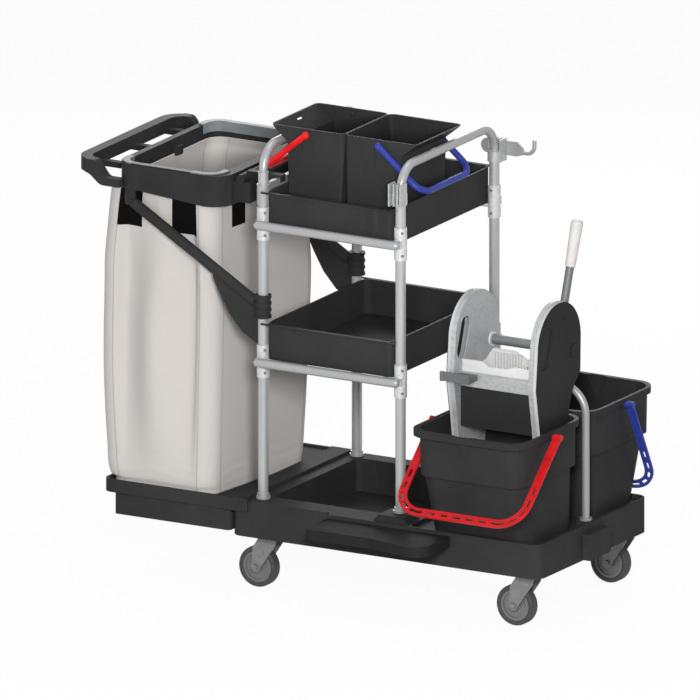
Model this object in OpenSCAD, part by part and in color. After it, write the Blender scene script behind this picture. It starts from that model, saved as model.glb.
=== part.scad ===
// Janitor cart: a moulded base on four casters, a tube frame with two trays,
// a bag holder at the left and two mop buckets with a wringer at the right.
// X runs along the cart, Y from the front to the back, Z up from the floor.
// Sizes are worked out from the front left post, then centred over the floor.

/* [Tube frame] */
// Distance between the left and the right posts
frame_l = 377; // [360:1:400]
// Distance between the front and the back posts
frame_w = 449; // [446:1:480]
// Outer diameter of the posts
post_d = 25; // [23:0.5:27]
// Wall of the post tube
post_wall = 1.5; // [1:0.1:2.5]
// Height of the post tops above the floor
post_top = 1023; // [1018:1:1050]
// Centreline radius of the bends in the arches
arch_bend = 60; // [50:1:70]
// Depth to which an arch leg reaches into its post
arch_insert = 60; // [40:1:80]
// Diameter of the cross rails
rail_d = 22; // [18:0.5:22]
// Height of the upper rails
upper_rail_z = 897; // [890:1:900]
// Height of the lower rails
lower_rail_z = 558; // [540:1:600]
// Outer diameter of the sleeves that hold the rails
sleeve_d = 31; // [31:0.5:34]
// Height of a rail sleeve
sleeve_h = 80; // [70:1:84]
// Diameter of the flange at each post foot
foot_d = 35; // [32:1:38]

/* [Base] */
// Reach of the base in front of the posts
base_front = 55; // [52:1:70]
// Reach of the base behind the posts
base_back = 24; // [22:1:40]
// Reach of the base to the left of the posts
base_left = 60; // [50:1:70]
// Reach of the base to the right of the right posts
base_right = 411; // [408:1:430]
// Height of the underside of the base
base_low = 133; // [130:1:138]
// Depth of the base
base_h = 85; // [80:1:95]
// Wall of the base moulding
base_wall = 5; // [4:0.5:7]
// Rise of the bosses under the right posts
boss_h = 16; // [8:1:20]
// Depth of the recess that locates the buckets
recess_h = 10; // [6:1:14]
// Length of the front step
step_l = 337; // [320:1:345]
// Reach of the front step
step_reach = 133; // [110:1:140]
// Thickness of the front step
step_t = 26; // [20:1:32]

/* [Bag holder] */
// Length of the bag platform
platform_l = 398; // [390:1:410]
// Height of the top edge of the bag platform
platform_top = 226; // [224:1:234]
// Height of the flat top of the bag ring
ring_top = 994; // [985:1:1000]
// Length of the bag ring along the cart
ring_l = 300; // [290:1:310]
// Width of the bars of the ring at the front, the back and the handle
ring_wall = 17; // [15:0.5:20]
// Reach of the push handle beyond the ring
handle_reach = 109; // [100:1:116]
// Diameter of the struts
strut_d = 26; // [20:1:28]

/* [Trays and small buckets] */
// Depth of a tray
tray_h = 88; // [70:1:95]
// Wall of a tray
tray_wall = 3; // [2.5:0.5:5]
// Height of a small bucket
pail_h = 227; // [215:1:240]
// Width of a small bucket from front to back
pail_w = 220; // [200:1:230]
// Angle of the red pail bail below level
red_rest = 39; // [37:1:42]
// Angle of the blue pail bail below level
blue_rest = 40; // [36:1:42]

/* [Mop buckets] */
// Length of a mop bucket rim along the cart
bucket_l = 312; // [302:1:318]
// Width of a mop bucket rim from front to back
bucket_w = 324; // [318:1:326]
// Gap between the rims of the two mop buckets
bucket_gap = 22; // [21:0.5:26]
// Height of a mop bucket
bucket_h = 270; // [262:1:280]
// Wall of a mop bucket
bucket_wall = 3; // [2.5:0.5:4]
// Distance from the bail pivot to the middle of its grip
bail_reach = 259; // [255:1:266]
// Width of the slotted bail band
bail_band = 22; // [18:1:24]
// Angle of the front mop bucket bail below level
bail_rest_front = 43; // [40:1:50]
// Angle of the back mop bucket bail below level
bail_rest_back = 63; // [58:1:66]
// Diameter of the hoop between the mop buckets
hoop_d = 18; // [16:0.5:20]

/* [Wringer] */
// Clear width between the two side plates
wringer_w = 204; // [190:1:208]
// Height of the lever shaft above the floor
shaft_z = 635; // [625:1:645]
// Diameter of the lever shaft
shaft_d = 24; // [20:0.5:25]
// Diameter of the lever tube
lever_d = 22; // [18:0.5:23]
// Travel of the press plate
press_travel = 45; // [30:1:50]

/* [Casters] */
// Diameter of a wheel
wheel_d = 100; // [90:1:104]
// Width of a wheel
wheel_w = 30; // [24:1:34]
// Trail of a wheel behind its swivel axis
caster_trail = 35; // [28:1:40]
// Diameter of a wheel axle
axle_d = 10; // [8:0.5:12]

/* [Hidden] */
$fn = 64;

// Colours
black_plastic = [0.13, 0.13, 0.13];
silver_tube = [0.80, 0.81, 0.82];
cast_grey = [0.72, 0.73, 0.74];
slate = [0.47, 0.51, 0.53];
plate_grey = [0.62, 0.63, 0.64];
white_plastic = [0.93, 0.93, 0.92];
red_plastic = [0.86, 0.09, 0.12];
blue_plastic = [0.15, 0.19, 0.60];
canvas = [0.82, 0.80, 0.77];

// Clearances
seat = 0.2;      // parts that rest on or in each other
slip = 0.15;     // sleeves on tubes
run = 0.05;      // pins and shafts that turn
free = 0.3;      // parts that pass each other

// Base
base_x0 = -base_left;
base_x1 = frame_l + base_right;
base_y0 = -base_front;
base_y1 = frame_w + base_back;
base_top = base_low + base_h;
base_r = 30;
deck_t = 6;
mid_y = (base_y0 + base_y1) / 2;
boss_top = base_top + boss_h;
well_x0 = 14;
well_x1 = frame_l + 23;
well_y0 = 20;
well_y1 = frame_w - 20;
well_r = 14;
recess_lip = 6;
recess_x0 = frame_l + 48;
recess_z = base_top - recess_h;
boss_l = 100;

// Frame
post_r = post_d / 2;
arch_r = post_r - post_wall - seat;
arch_z = post_top + arch_bend;
sleeve_r = sleeve_d / 2;
rail_r = rail_d / 2;
rail_off = sleeve_r + rail_r - 0.5;
post_spots = [[0, 0], [frame_l, 0], [0, frame_w], [frame_l, frame_w]];
sleeve_spots = [for (p = post_spots) for (z = [upper_rail_z, lower_rail_z]) [p[0], p[1], z]];
upper_tray_z = upper_rail_z - 7;
middle_tray_z = lower_rail_z + 8;
screw_r = 3.5;
screw_seat = sleeve_r - 1;
carrier_z = ring_top - 19;
carrier_h = 17;
carrier_t = 12;

// Casters
caster_x = [25, frame_l + 355];
caster_y = [0, frame_w];
wheel_r = wheel_d / 2;
axle_r = axle_d / 2;
hub_r = wheel_r - 12;
fork_gap = wheel_w / 2 + 2;
fork_t = 4;
stem_r = 8;
crown_z0 = base_low - 12;
crown_z1 = base_low - 3 - free;
crown_r = 27;

// Bag holder
platform_x0 = -platform_l - 10;
platform_y0 = base_y0 - 5;
platform_y1 = base_y1 + 5;
platform_low = platform_top - 31;
platform_x1 = -foot_d / 2 - 4;
platform_floor = platform_top - 11;
tub_low = base_low + 9;
ring_x1 = -105;
ring_x0 = ring_x1 - ring_l;
ring_y0 = -10;
ring_y1 = frame_w + 6;
ring_skin = 4;
ring_r = 52;
open_r = ring_r - ring_wall;
ring_low_left = ring_top - 57;
ring_low_right = ring_top - 76;
arm_low = ring_low_left - 2;
open_x0 = ring_x0 + ring_wall;
open_x1 = ring_x1 - 30;
open_y0 = ring_y0 + ring_wall;
open_y1 = ring_y1 - ring_wall;
handle_x0 = ring_x0 - handle_reach;
handle_h = 33;
handle_z = ring_top - 32;
grip_w = 28;
handle_y0 = ring_y0 - 8;
handle_y1 = ring_y1 + 4;
strut_top = [ring_x0 + 52, ring_top - 96];
strut_low = [-20, 699];
strut_r = strut_d / 2;
clamp_r = 20;
clamp_z0 = 664;
clamp_z1 = 720;
tail_z = 600;

// Trays and pails
tray_x0 = sleeve_r + 1;
tray_x1 = frame_l - tray_x0;
tray_y0 = -12;
tray_y1 = frame_w + 12;
tray_r = 16;
pail_wall = 2.5;
pail_split = frame_l / 2 - 12.5;
pail_floor_z = upper_tray_z + tray_wall + seat;
pail_top = pail_floor_z + pail_h;
pail_y0 = 79;
pail_y1 = pail_y0 + pail_w;
pail_inner = 0.5;
pail_outer = pail_split - tray_x0 - 5;
pail_lip = 46;
pail_lip_h = 37;
pail_taper = 6;
pail_draft = 10;
pail_round = 14;
pail_pivot = [pail_outer - 54.5, pail_top - 14];
pail_bail_reach = 157;
pail_bail_r = 8;
pail_bail_corner = 38;
pail_arm = 2 + pail_bail_r;

// Mop buckets
bucket_x = frame_l + 241.5;
bucket_y = mid_y - bucket_gap / 2 - bucket_w / 2;
bucket_low = recess_z + seat;
bucket_top = bucket_low + bucket_h;
ledge_z = bucket_low + 160;
rim_h = 16;
pivot_y = 0;
pivot_z = bucket_top - 14;
bail_half = bucket_l / 2 + 2 + bail_band;
bail_t = 5;
bail_corner = 75;
bail_pin_r = 4;
bail_slot = [22, 7];
hoop_r = hoop_d / 2;
hoop_top = 545;
hoop_bend = 68;
hoop_x = [bucket_x - 187, bucket_x + 147];

// Wringer
web_t = 4;
web_in = wringer_w / 2;
flange_out = web_in + 12;
cover_out = flange_out + 10;
wring_y = mid_y - 157.5;
dome_y = wring_y + 72;
dome_z = 668;
dome_r = 104;
shaft_y = wring_y + 143.5;
shaft_r = shaft_d / 2;
deck_z = ledge_z + seat;
deck_top = deck_z + 4;
plate_low = deck_top + seat;
press_y = wring_y + 91;
press_slot_z = 540;
press_pin_r = 5;
basket_y = wring_y + 0.8;
lever_x = bucket_x + web_in - lever_d / 2 - 5;
lever_r = lever_d / 2;
lever_bend_z = shaft_z + 57;
lever_lean = 18.5;
lever_len = 249;
grip_start = 142;

// Centre of the floor plan: handle to bumper, front step to back bail
bumper_t = 17;
reach_x = [handle_x0, base_x1 + bumper_t];
bucket_back_y = 2 * mid_y - bucket_y + bucket_w / 2;
reach_y = [base_y0 - step_reach, bucket_back_y];
origin = [(reach_x[0] + reach_x[1]) / 2, (reach_y[0] + reach_y[1]) / 2, 0];

module place() translate(-origin) children();

// Rounded rectangle between two corners
module rounded(x0, y0, x1, y1, r) {
  translate([x0 + r, y0]) square([x1 - x0 - 2 * r, y1 - y0]);
  translate([x0, y0 + r]) square([x1 - x0, y1 - y0 - 2 * r]);
  for (x = [x0 + r, x1 - r]) for (y = [y0 + r, y1 - r]) translate([x, y]) circle(r);
}

// Rounded block between two heights
module slab(x0, y0, x1, y1, r, z0, z1) {
  translate([0, 0, z0]) linear_extrude(z1 - z0) rounded(x0, y0, x1, y1, r);
}

// Plain block between two corners
module block(x0, y0, z0, x1, y1, z1) translate([x0, y0, z0]) cube([x1 - x0, y1 - y0, z1 - z0]);

// Outline in Y and Z carried along X
module along_x(x0, x1) translate([x0, 0, 0]) rotate([90, 0, 90]) linear_extrude(x1 - x0) children();

// Outline in X and Z carried along Y
module along_y(y0, y1) translate([0, y1, 0]) rotate([90, 0, 0]) linear_extrude(y1 - y0) children();

// Round bars along X and Y
module bar_x(x0, x1, r) translate([x0, 0, 0]) rotate([0, 90, 0]) cylinder(h = x1 - x0, r = r);
module bar_y(y0, y1, r) translate([0, y0, 0]) rotate([-90, 0, 0]) cylinder(h = y1 - y0, r = r);

// Slot with round ends, centred, lying along the first axis
module slot_outline(l, w) {
  square([l - w, w], center = true);
  for (s = [-1, 1]) translate([s * (l - w) / 2, 0]) circle(w / 2);
}

// Tapered block with rounded corners, inset at its lower end
module tapered(x0, y0, x1, y1, r, z0, z1, in_x0, in_y0, in_x1, in_y1) {
  skin = 0.01;
  hull() {
    $fn = 32;
    slab(x0 + in_x0, y0 + in_y0, x1 - in_x1, y1 - in_y1, r * 0.8, z0, z0 + skin);
    slab(x0, y0, x1, y1, r, z1 - skin, z1);
  }
}

// Inverted U of round tube standing in the YZ plane
module tube_arch(width, low, top, bend, r) {
  for (y = [0, width]) translate([0, y, low]) cylinder(h = top - bend - low, r = r);
  translate([0, bend, top]) bar_y(0, width - 2 * bend, r);
  translate([0, bend, top - bend]) rotate([0, 0, 180]) rotate([90, 0, 90])
    rotate_extrude(angle = 90) translate([bend, 0]) circle(r);
  translate([0, width - bend, top - bend]) rotate([90, 0, 90])
    rotate_extrude(angle = 90) translate([bend, 0]) circle(r);
}

// Base moulding, open from below, with the well and the bucket recess
module base_chassis() place() color(black_plastic) difference() {
  w = base_wall;
  union() {
    difference() {
      slab(base_x0, base_y0, base_x1, base_y1, base_r, base_low, base_top);
      slab(base_x0 + w, base_y0 + w, base_x1 - w, base_y1 - w, base_r - w, base_low - 1, base_top - deck_t);
    }
    slab(well_x0 - w, well_y0 - w, well_x1 + w, well_y1 + w, well_r + w, base_low, base_top - 1);
    slab(recess_x0 - w, base_y0 + 1, base_x1 - 1, base_y1 - 1, base_r - 1, recess_z - w, base_top - 1);
    for (x = caster_x) for (y = caster_y)
      difference() {
        block(x - 34, y - 23, base_low, x + 34, y + 23, base_top - 1);
        block(x - 29, y - 18, base_low + w, x + 29, y + 18, base_top - deck_t - 1);
      }
    block(0, base_y0, base_top - 1, frame_l - 170, base_y0 + 8, base_top + 5);
    for (y = [[base_y0 + 10, well_y0 - 1], [well_y1 + 1, base_y1 - 2]])
      along_y(y[0], y[1]) polygon([
        [frame_l - boss_l / 2, base_top - 1], [frame_l + boss_l / 2 - 6, base_top - 1],
        [frame_l + boss_l / 2 - 20, boss_top], [frame_l - boss_l / 2 + 14, boss_top]
      ]);
  }
  slab(well_x0, well_y0, well_x1, well_y1, well_r, base_low + w - 1, boss_top + 1);
  difference() {
    slab(recess_x0, base_y0 + recess_lip, base_x1 - recess_lip, base_y1 - recess_lip, base_r - recess_lip,
      recess_z, boss_top + 1);
    for (x = hoop_x) block(x - 17, mid_y - 17, base_low, x + 17, mid_y + 17, base_top);
  }
}

// Step on the front of the base, with a fuller right end
module front_step() place() color(black_plastic) {
  x0 = frame_l - 170;
  x1 = x0 + step_l;
  y0 = base_y0;
  y1 = y0 - step_reach;
  top = base_top - 9;
  difference() {
    translate([0, 0, top - step_t]) linear_extrude(step_t) {
      polygon([
        [x0, y0], [x0, y1 + 36], [x0 + 18, y1 + 18], [x0 + 60, y1 + 22], [x0 + 180, y1 + 24],
        [x0 + 245, y1 + 10], [x0 + 290, y1 + 1], [x1 - 45, y1], [x1, y1 + 45], [x1, y0]
      ]);
      translate([x1 - 45, y1 + 45]) circle(45);
      translate([x0 + 18, y1 + 36]) circle(18);
    }
    block(x0 + 6, y1 + 50, top - step_t - 1, x1 - 6, y0 - 6, top - 5);
  }
}

// Buffer on the right end of the base
module side_bumper() place() color(black_plastic) along_x(base_x1, base_x1 + bumper_t)
  rounded(mid_y - 55, base_low, mid_y + 50, base_low + 64, 6);

// Bag platform, hooked over the left end of the base
module bag_platform() place() color(black_plastic) difference() {
  w = base_wall;
  union() {
    slab(platform_x0, platform_y0, base_x0 - free, platform_y1, 26, platform_low, platform_top);
    slab(platform_x0 + 30, base_y0, base_x0 - free, base_y1, 10, tub_low, platform_low + 1);
    block(base_x0 - 30, platform_y0, base_top + seat, platform_x1, platform_y1, platform_top);
    for (y = [platform_y0, base_y1 + free])
      block(base_x0 - 30, y, platform_low, -10, y + 5 - free, platform_top);
  }
  slab(platform_x0 + 8, platform_y0 + 8, base_x0 - 14, platform_y1 - 8, 18, platform_floor, platform_top + 1);
  block(platform_x0 + 30, base_y1 - 8, base_top + 2, platform_x1 + 1, platform_y1 + 1, platform_top + 1);
  slab(platform_x0 + 30 + w, base_y0 + w, base_x0 - free - w, base_y1 - w, 6,
    tub_low - 1, platform_floor - w);
}

// Caster mounting plates with their swivel stems
module caster_plates() place() color(cast_grey) for (x = caster_x) for (y = caster_y) translate([x, y, 0]) {
  slab(-30, -22, 30, 22, 6, base_low - 3, base_low);
  translate([0, 0, crown_z0 - 4]) cylinder(h = base_low - crown_z0 + 2, r = stem_r);
  translate([0, 0, crown_z0 - 5]) cylinder(h = 5 - free, r = stem_r + 4);
}

// Swivel fork with its axle bolt
module caster_fork(x, y) translate([x, y, 0]) {
  color(plate_grey) difference() {
    union() {
      translate([0, 0, crown_z0]) cylinder(h = crown_z1 - crown_z0, r = crown_r);
      for (s = [-1, 1]) {
        y0 = s > 0 ? fork_gap : -fork_gap - fork_t;
        along_y(y0, y0 + fork_t) {
          polygon([
            [-crown_r + 4, crown_z1 - 1], [crown_r - 5, crown_z1 - 1], [crown_r - 9, crown_z0 - 12],
            [-caster_trail + 12, wheel_r - 2], [-caster_trail - 12, wheel_r - 2],
            [-caster_trail - 8, crown_z0 - 22]
          ]);
          translate([-caster_trail, wheel_r]) circle(12);
        }
      }
    }
    translate([0, 0, crown_z0 - 1]) cylinder(h = 20, r = stem_r + run);
    translate([0, 0, crown_z0 - 20]) cylinder(h = 20, r = stem_r + 6);
    translate([-caster_trail, 0, wheel_r]) bar_y(-fork_gap - 10, fork_gap + 10, axle_r + run);
  }
  color(silver_tube) translate([-caster_trail, 0, wheel_r]) {
    bar_y(-fork_gap - fork_t - 1, fork_gap + fork_t + 1, axle_r);
    bar_y(-fork_gap - fork_t - 5, -fork_gap - fork_t - seat, axle_r + 2.5);
    bar_y(fork_gap + fork_t + seat, fork_gap + fork_t + 5, axle_r + 2.5);
  }
}

// Wheel hub: a dished disc on a bored boss
module caster_hub(x, y) translate([x - caster_trail, y, wheel_r]) color(plate_grey) difference() {
  union() {
    bar_y(-wheel_w / 2 + 3, wheel_w / 2 - 3, hub_r);
    bar_y(-fork_gap + free, fork_gap - free, axle_r + 6);
  }
  for (s = [-1, 1]) rotate([90 * s, 0, 0]) translate([0, 0, wheel_w / 2 - 7])
    rotate_extrude() translate([axle_r + 9, 0]) square([hub_r - axle_r - 15, 12]);
  bar_y(-fork_gap - 5, fork_gap + 5, axle_r + run);
}

// Tyre with a rounded tread
module caster_tyre(x, y) translate([x - caster_trail, y, wheel_r]) color(black_plastic) rotate([90, 0, 0])
  rotate_extrude() {
    h = wheel_w / 2;
    translate([hub_r + seat / 2, -h + 2]) square([5, 2 * h - 4]);
    translate([hub_r + 4, -h]) square([wheel_r - hub_r - 10, 2 * h]);
    translate([wheel_r - 7, -h + 6]) square([7, 2 * h - 12]);
    for (s = [-1, 1]) translate([wheel_r - 6, s * (h - 6)]) circle(6);
  }

module caster_fork_fl() place() caster_fork(caster_x[0], caster_y[0]);
module caster_fork_fr() place() caster_fork(caster_x[1], caster_y[0]);
module caster_fork_bl() place() caster_fork(caster_x[0], caster_y[1]);
module caster_fork_br() place() caster_fork(caster_x[1], caster_y[1]);
module caster_hub_fl() place() caster_hub(caster_x[0], caster_y[0]);
module caster_hub_fr() place() caster_hub(caster_x[1], caster_y[0]);
module caster_hub_bl() place() caster_hub(caster_x[0], caster_y[1]);
module caster_hub_br() place() caster_hub(caster_x[1], caster_y[1]);
module caster_tyre_fl() place() caster_tyre(caster_x[0], caster_y[0]);
module caster_tyre_fr() place() caster_tyre(caster_x[1], caster_y[0]);
module caster_tyre_bl() place() caster_tyre(caster_x[0], caster_y[1]);
module caster_tyre_br() place() caster_tyre(caster_x[1], caster_y[1]);

// Height at which a post stands
function post_low(p) = p[0] > 0 ? boss_top : base_top;

// Four tube posts
module posts() place() color(silver_tube) for (p = post_spots) translate([p[0], p[1], post_low(p)])
  difference() {
    cylinder(h = post_top - post_low(p), r = post_r);
    translate([0, 0, 3]) cylinder(h = post_top, r = post_r - post_wall);
  }

// Flanged collars at the post feet
module post_feet() place() color(silver_tube) for (p = post_spots) translate([p[0], p[1], post_low(p)])
  difference() {
    union() {
      cylinder(h = 5, r = foot_d / 2);
      cylinder(h = 12, r = post_r + 2.5);
    }
    translate([0, 0, -1]) cylinder(h = 20, r = post_r + slip);
  }

// Bent tubes that stand in the post tops
module left_arch() place() color(silver_tube)
  tube_arch(frame_w, post_top - arch_insert, arch_z, arch_bend, arch_r);
module right_arch() place() color(silver_tube) translate([frame_l, 0, 0])
  tube_arch(frame_w, post_top - arch_insert, arch_z, arch_bend, arch_r);

// Pair of round-ended rails, in front of and behind the posts
module rail_pair(z) for (y = [-rail_off, frame_w + rail_off]) translate([0, y, z]) {
  end = y > 0 ? frame_l - rail_r : frame_l;
  bar_x(0, end, rail_r);
  sphere(rail_r);
  translate([end, 0, 0]) sphere(rail_r);
}
module upper_rails() place() color(silver_tube) rail_pair(upper_rail_z);
module lower_rails() place() color(silver_tube) rail_pair(lower_rail_z);

// Underside of the tray that a sleeve carries
function lug_top(z) = (z == upper_rail_z ? upper_tray_z : middle_tray_z) - seat;

// Sleeves that clamp the rails to the posts and carry the trays on their inner lugs
module rail_sleeves() place() color(cast_grey) for (s = sleeve_spots) {
  side = s[0] > 0 ? -1 : 1;
  front = s[1] > 0 ? -1 : 1;
  x_far = side * (tray_x0 + 26);
  y_out = -front * (rail_off + 4);
  translate([s[0], s[1], 0]) difference() {
    union() {
      translate([0, 0, s[2] - sleeve_h / 2]) cylinder(h = sleeve_h, r = sleeve_r);
      block(-11, min(0, y_out), s[2] - 9, 11, max(0, y_out), s[2] + 9);
      block(min(0, x_far), -9, lug_top(s[2]) - 9, max(0, x_far), 9, lug_top(s[2]));
    }
    translate([0, 0, s[2] - sleeve_h]) cylinder(h = 2 * sleeve_h, r = post_r + slip);
    translate([0, -front * rail_off, s[2]]) bar_x(-60, 60, rail_r + slip);
    translate([0, -front * (rail_off + 20), s[2]]) block(-60, -20, -20, 60, 20, 20);
    for (z = [-1, 1]) rotate([0, 0, front > 0 ? 45 : 0])
      translate([0, -screw_seat, s[2] + z * (sleeve_h / 2 - 12)])
        rotate([90, 0, 0]) cylinder(h = 9, r = screw_r + slip);
  }
}

// Screws in the sleeves
module sleeve_screws() place() color(silver_tube) for (s = sleeve_spots) {
  translate([s[0], s[1], s[2]]) for (z = [-1, 1])
    rotate([0, 0, s[1] > 0 ? 0 : 45])
      translate([0, -screw_seat, z * (sleeve_h / 2 - 12)]) rotate([90, 0, 0]) cylinder(h = 3, r = screw_r);
}

// Cross bar with collars on the left posts, which carries the bag ring
module ring_carrier() place() color(silver_tube) difference() {
  union() {
    for (y = [0, frame_w]) translate([0, y, carrier_z - 31]) cylinder(h = 49, r = sleeve_r);
    block(-carrier_t / 2, 0, carrier_z, carrier_t / 2, frame_w, carrier_z + carrier_h);
  }
  for (y = [0, frame_w]) translate([0, y, carrier_z - 40]) cylinder(h = 80, r = post_r + slip);
}

// Spring clips for tool shafts on the right posts
module tool_clips() place() color(silver_tube) for (y = [0, frame_w])
translate([frame_l, y, 0]) difference() {
  out = y > 0 ? 1 : -1;
  union() {
    translate([0, 0, post_top - 28]) cylinder(h = 26, r = post_r + 4);
    for (s = [-1, 1]) {
      block(s > 0 ? post_r + 1 : -post_r - 5, min(0, out * 30), post_top - 30,
        s > 0 ? post_r + 5 : -post_r - 1, max(0, out * 30), post_top + 25);
      block(s > 0 ? 3 : -7, min(out * (post_r + 1), out * 26), post_top - 30,
        s > 0 ? 7 : -3, max(out * (post_r + 1), out * 26), post_top + 25);
    }
    block(-post_r - 2, min(out * (post_r + 1), out * (post_r + 4)), post_top - 28,
      post_r + 2, max(out * (post_r + 1), out * (post_r + 4)), post_top - 2);
  }
  translate([0, 0, post_top - 60]) cylinder(h = 120, r = post_r + slip);
}

// Flat arm with a round hook, held by the clip on the back right post
module mop_hook() place() color(silver_tube) translate([frame_l, frame_w + 30 + seat, post_top - 1]) {
  along_y(0, 4) {
    translate([-36, 0]) circle(18);
    translate([-36, -18]) square([80, 36]);
    polygon([[44, -18], [62, -12], [62, 2], [44, 18]]);
  }
  translate([58, 2, -7]) bar_x(0, 14, 5);
  translate([72, 2, 13]) rotate([90, 0, 0]) rotate([0, 0, -90])
    rotate_extrude(angle = 90) translate([20, 0]) circle(5);
  translate([92, 2, 13]) cylinder(h = 16, r = 5);
}

// Open tray with a turned-out rim whose ends pass in front of the posts
module tray(z) difference() {
  w = tray_wall;
  ear = sleeve_r + 0.7;
  union() {
    slab(tray_x0, tray_y0, tray_x1, tray_y1, tray_r, z, z + tray_h);
    block(tray_x0 - 2, ear, z + tray_h - 4, tray_x1 + 2, frame_w - ear, z + tray_h);
    for (y = [-ear - 4, frame_w + ear]) block(4, y, z + tray_h - 4, frame_l - 4, y + 4, z + tray_h);
    for (y = [-ear - 1, tray_y1 - 1])
      block(tray_x0 + 6, y, z + tray_h - 4, tray_x1 - 6, y + ear + tray_y0 + 2, z + tray_h);
  }
  slab(tray_x0 + w, tray_y0 + w, tray_x1 - w, tray_y1 - w, tray_r - w + 2, z + w, z + tray_h + 1);
}
module upper_tray() place() color(black_plastic) tray(upper_tray_z);
module middle_tray() place() color(black_plastic) tray(middle_tray_z);

// Section of a pail across the cart, with its flared pouring lip
module pail_outline(w) {
  polygon([
    [pail_inner + pail_draft + w, pail_floor_z + w], [pail_outer - pail_taper - w, pail_floor_z + w],
    [pail_outer - w, pail_top - pail_lip_h], [pail_outer + pail_lip - w * 1.4, pail_top + (w > 0 ? 1 : 0)],
    [pail_inner + w, pail_top + (w > 0 ? 1 : 0)]
  ]);
}

// Pail whose lip points to the positive side, standing left or right of the split
module pail() difference() {
  union() {
    intersection() {
      along_y(pail_y0, pail_y1) pail_outline(0);
      slab(pail_inner, pail_y0, pail_outer + pail_lip, pail_y1, pail_round, pail_floor_z, pail_top);
    }
    for (y = [pail_y0 - 1.5, pail_y1 - 1])
      block(pail_inner + pail_round, y, pail_top - 5, pail_outer + pail_lip - pail_round, y + 2.5, pail_top);
  }
  intersection() {
    along_y(pail_y0 + pail_wall, pail_y1 - pail_wall) pail_outline(pail_wall);
    slab(pail_inner + pail_wall, pail_y0 + pail_wall, pail_outer + pail_lip - pail_wall, pail_y1 - pail_wall,
      pail_round - pail_wall, pail_floor_z, pail_top + 2);
  }
  translate([pail_pivot[0], 0, pail_pivot[1]]) bar_y(pail_y0 - 5, pail_y1 + 5, 3 + run);
  translate([pail_outer + 30, (pail_y0 + pail_y1) / 2, pail_top - 40]) block(-3, -12, 0, 3, 12, 60);
}

module to_left() translate([pail_split, 0, 0]) mirror([1, 0, 0]) children();
module to_right() translate([pail_split, 0, 0]) children();
module pail_red() place() color(black_plastic) to_left() pail();
module pail_blue() place() color(black_plastic) to_right() pail();

// Round bail of a pail, turned down by an angle
module pail_bail(rest) translate([pail_pivot[0], 0, pail_pivot[1]]) rotate([0, rest, 0]) {
  r = pail_bail_r;
  c = pail_bail_corner;
  y0 = pail_y0 - pail_arm;
  y1 = pail_y1 + pail_arm;
  for (y = [y0, y1]) translate([0, y, 0]) {
    bar_x(0, pail_bail_reach - c, r);
    sphere(r + 1.5);
  }
  bar_y(y0, pail_y0 + 5, 3);
  bar_y(pail_y1 - 5, y1, 3);
  translate([pail_bail_reach, 0, 0]) bar_y(y0 + c, y1 - c, r);
  translate([pail_bail_reach - c, y0 + c, 0]) rotate([0, 0, -90])
    rotate_extrude(angle = 90) translate([c, 0]) circle(r);
  translate([pail_bail_reach - c, y1 - c, 0]) rotate_extrude(angle = 90) translate([c, 0]) circle(r);
}
module pail_bail_red() place() color(red_plastic) to_left() pail_bail(red_rest);
module pail_bail_blue() place() color(blue_plastic) to_right() pail_bail(blue_rest);

// Points of a smooth step from one point to another
function s_curve(a, b) = [for (t = [0 : 0.125 : 1])
  [a[0] + (b[0] - a[0]) * t, a[1] + (b[1] - a[1]) * (1 - cos(180 * t)) / 2]];

// Bag ring with its push handle and the hooks that hang it on the carrier
module bag_ring() place() color(black_plastic) {
  s = ring_skin;
  difference() {
    union() {
      slab(ring_x0, ring_y0, ring_x1, ring_y1, ring_r, ring_low_right, ring_top);
      translate([0, 0, handle_z]) linear_extrude(handle_h) difference() {
        rounded(handle_x0, handle_y0, handle_x0 + 140, handle_y1, 58);
        rounded(handle_x0 + grip_w, handle_y0 + 22, handle_x0 + 112, handle_y1 - 22, 36);
        translate([handle_x0 + 56, handle_y0 - 1]) square([100, handle_y1 - handle_y0 + 2]);
      }
      for (y = [ring_y0 + 70, (ring_y0 + ring_y1) / 2, ring_y1 - 70])
        block(handle_x0 + grip_w - 1, y - 9, handle_z, ring_x0 + 2, y + 9, handle_z + 14);
      for (y = [handle_y0, handle_y1 - 24]) along_y(y, y + 24) polygon(concat(
        s_curve([handle_x0 + 36, handle_z], [handle_x0 + 84, arm_low]),
        [[ring_x0 + 20, arm_low], [ring_x0 + 20, arm_low + 20]],
        s_curve([handle_x0 + 98, arm_low + 20], [handle_x0 + 57, handle_z + handle_h]),
        [[handle_x0 + 36, handle_z + handle_h]]
      ));
    }
    slab(open_x0, open_y0, open_x1, open_y1, open_r, ring_low_right - 1, ring_top + 1);
    difference() {
      slab(ring_x0 + s, ring_y0 + s, ring_x1 - s, ring_y1 - s, ring_r - s, ring_low_right - 1, ring_top - 5);
      slab(open_x0 - s, open_y0 - s, open_x1 + s, open_y1 + s, open_r + s, ring_top - 34, ring_top);
    }
    along_y(ring_y0 - 1, ring_y1 + 1) polygon([
      [ring_x0 - 1, ring_low_right - 1], [ring_x1 + 1, ring_low_right - 1], [ring_x1 + 1, ring_low_right],
      [ring_x1 - ring_r, ring_low_right], [ring_x0 + 60, ring_low_left - 4], [ring_x0 - 1, ring_low_left - 4]
    ]);
  }
  for (y = [ring_y0 + 52, ring_y1 - 148])
    block(ring_x1 - 1, y, ring_top - 68, ring_x1 + 44, y + 96, ring_top - 18);
  translate([ring_x1 + 20, 0, ring_top - 10]) bar_y(ring_y0 + 46, ring_y1 - 46, 11);
  for (y = [70, frame_w - 90]) {
    block(ring_x1 + 20, y, ring_top - 20, -carrier_t / 2 - 4, y + 20, ring_top + 4);
    block(-30, y, carrier_z + carrier_h + seat, carrier_t / 2 + 4, y + 20, ring_top + 4);
    block(carrier_t / 2 + seat, y, carrier_z + 6, carrier_t / 2 + 4, y + 20, ring_top);
  }
}

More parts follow.
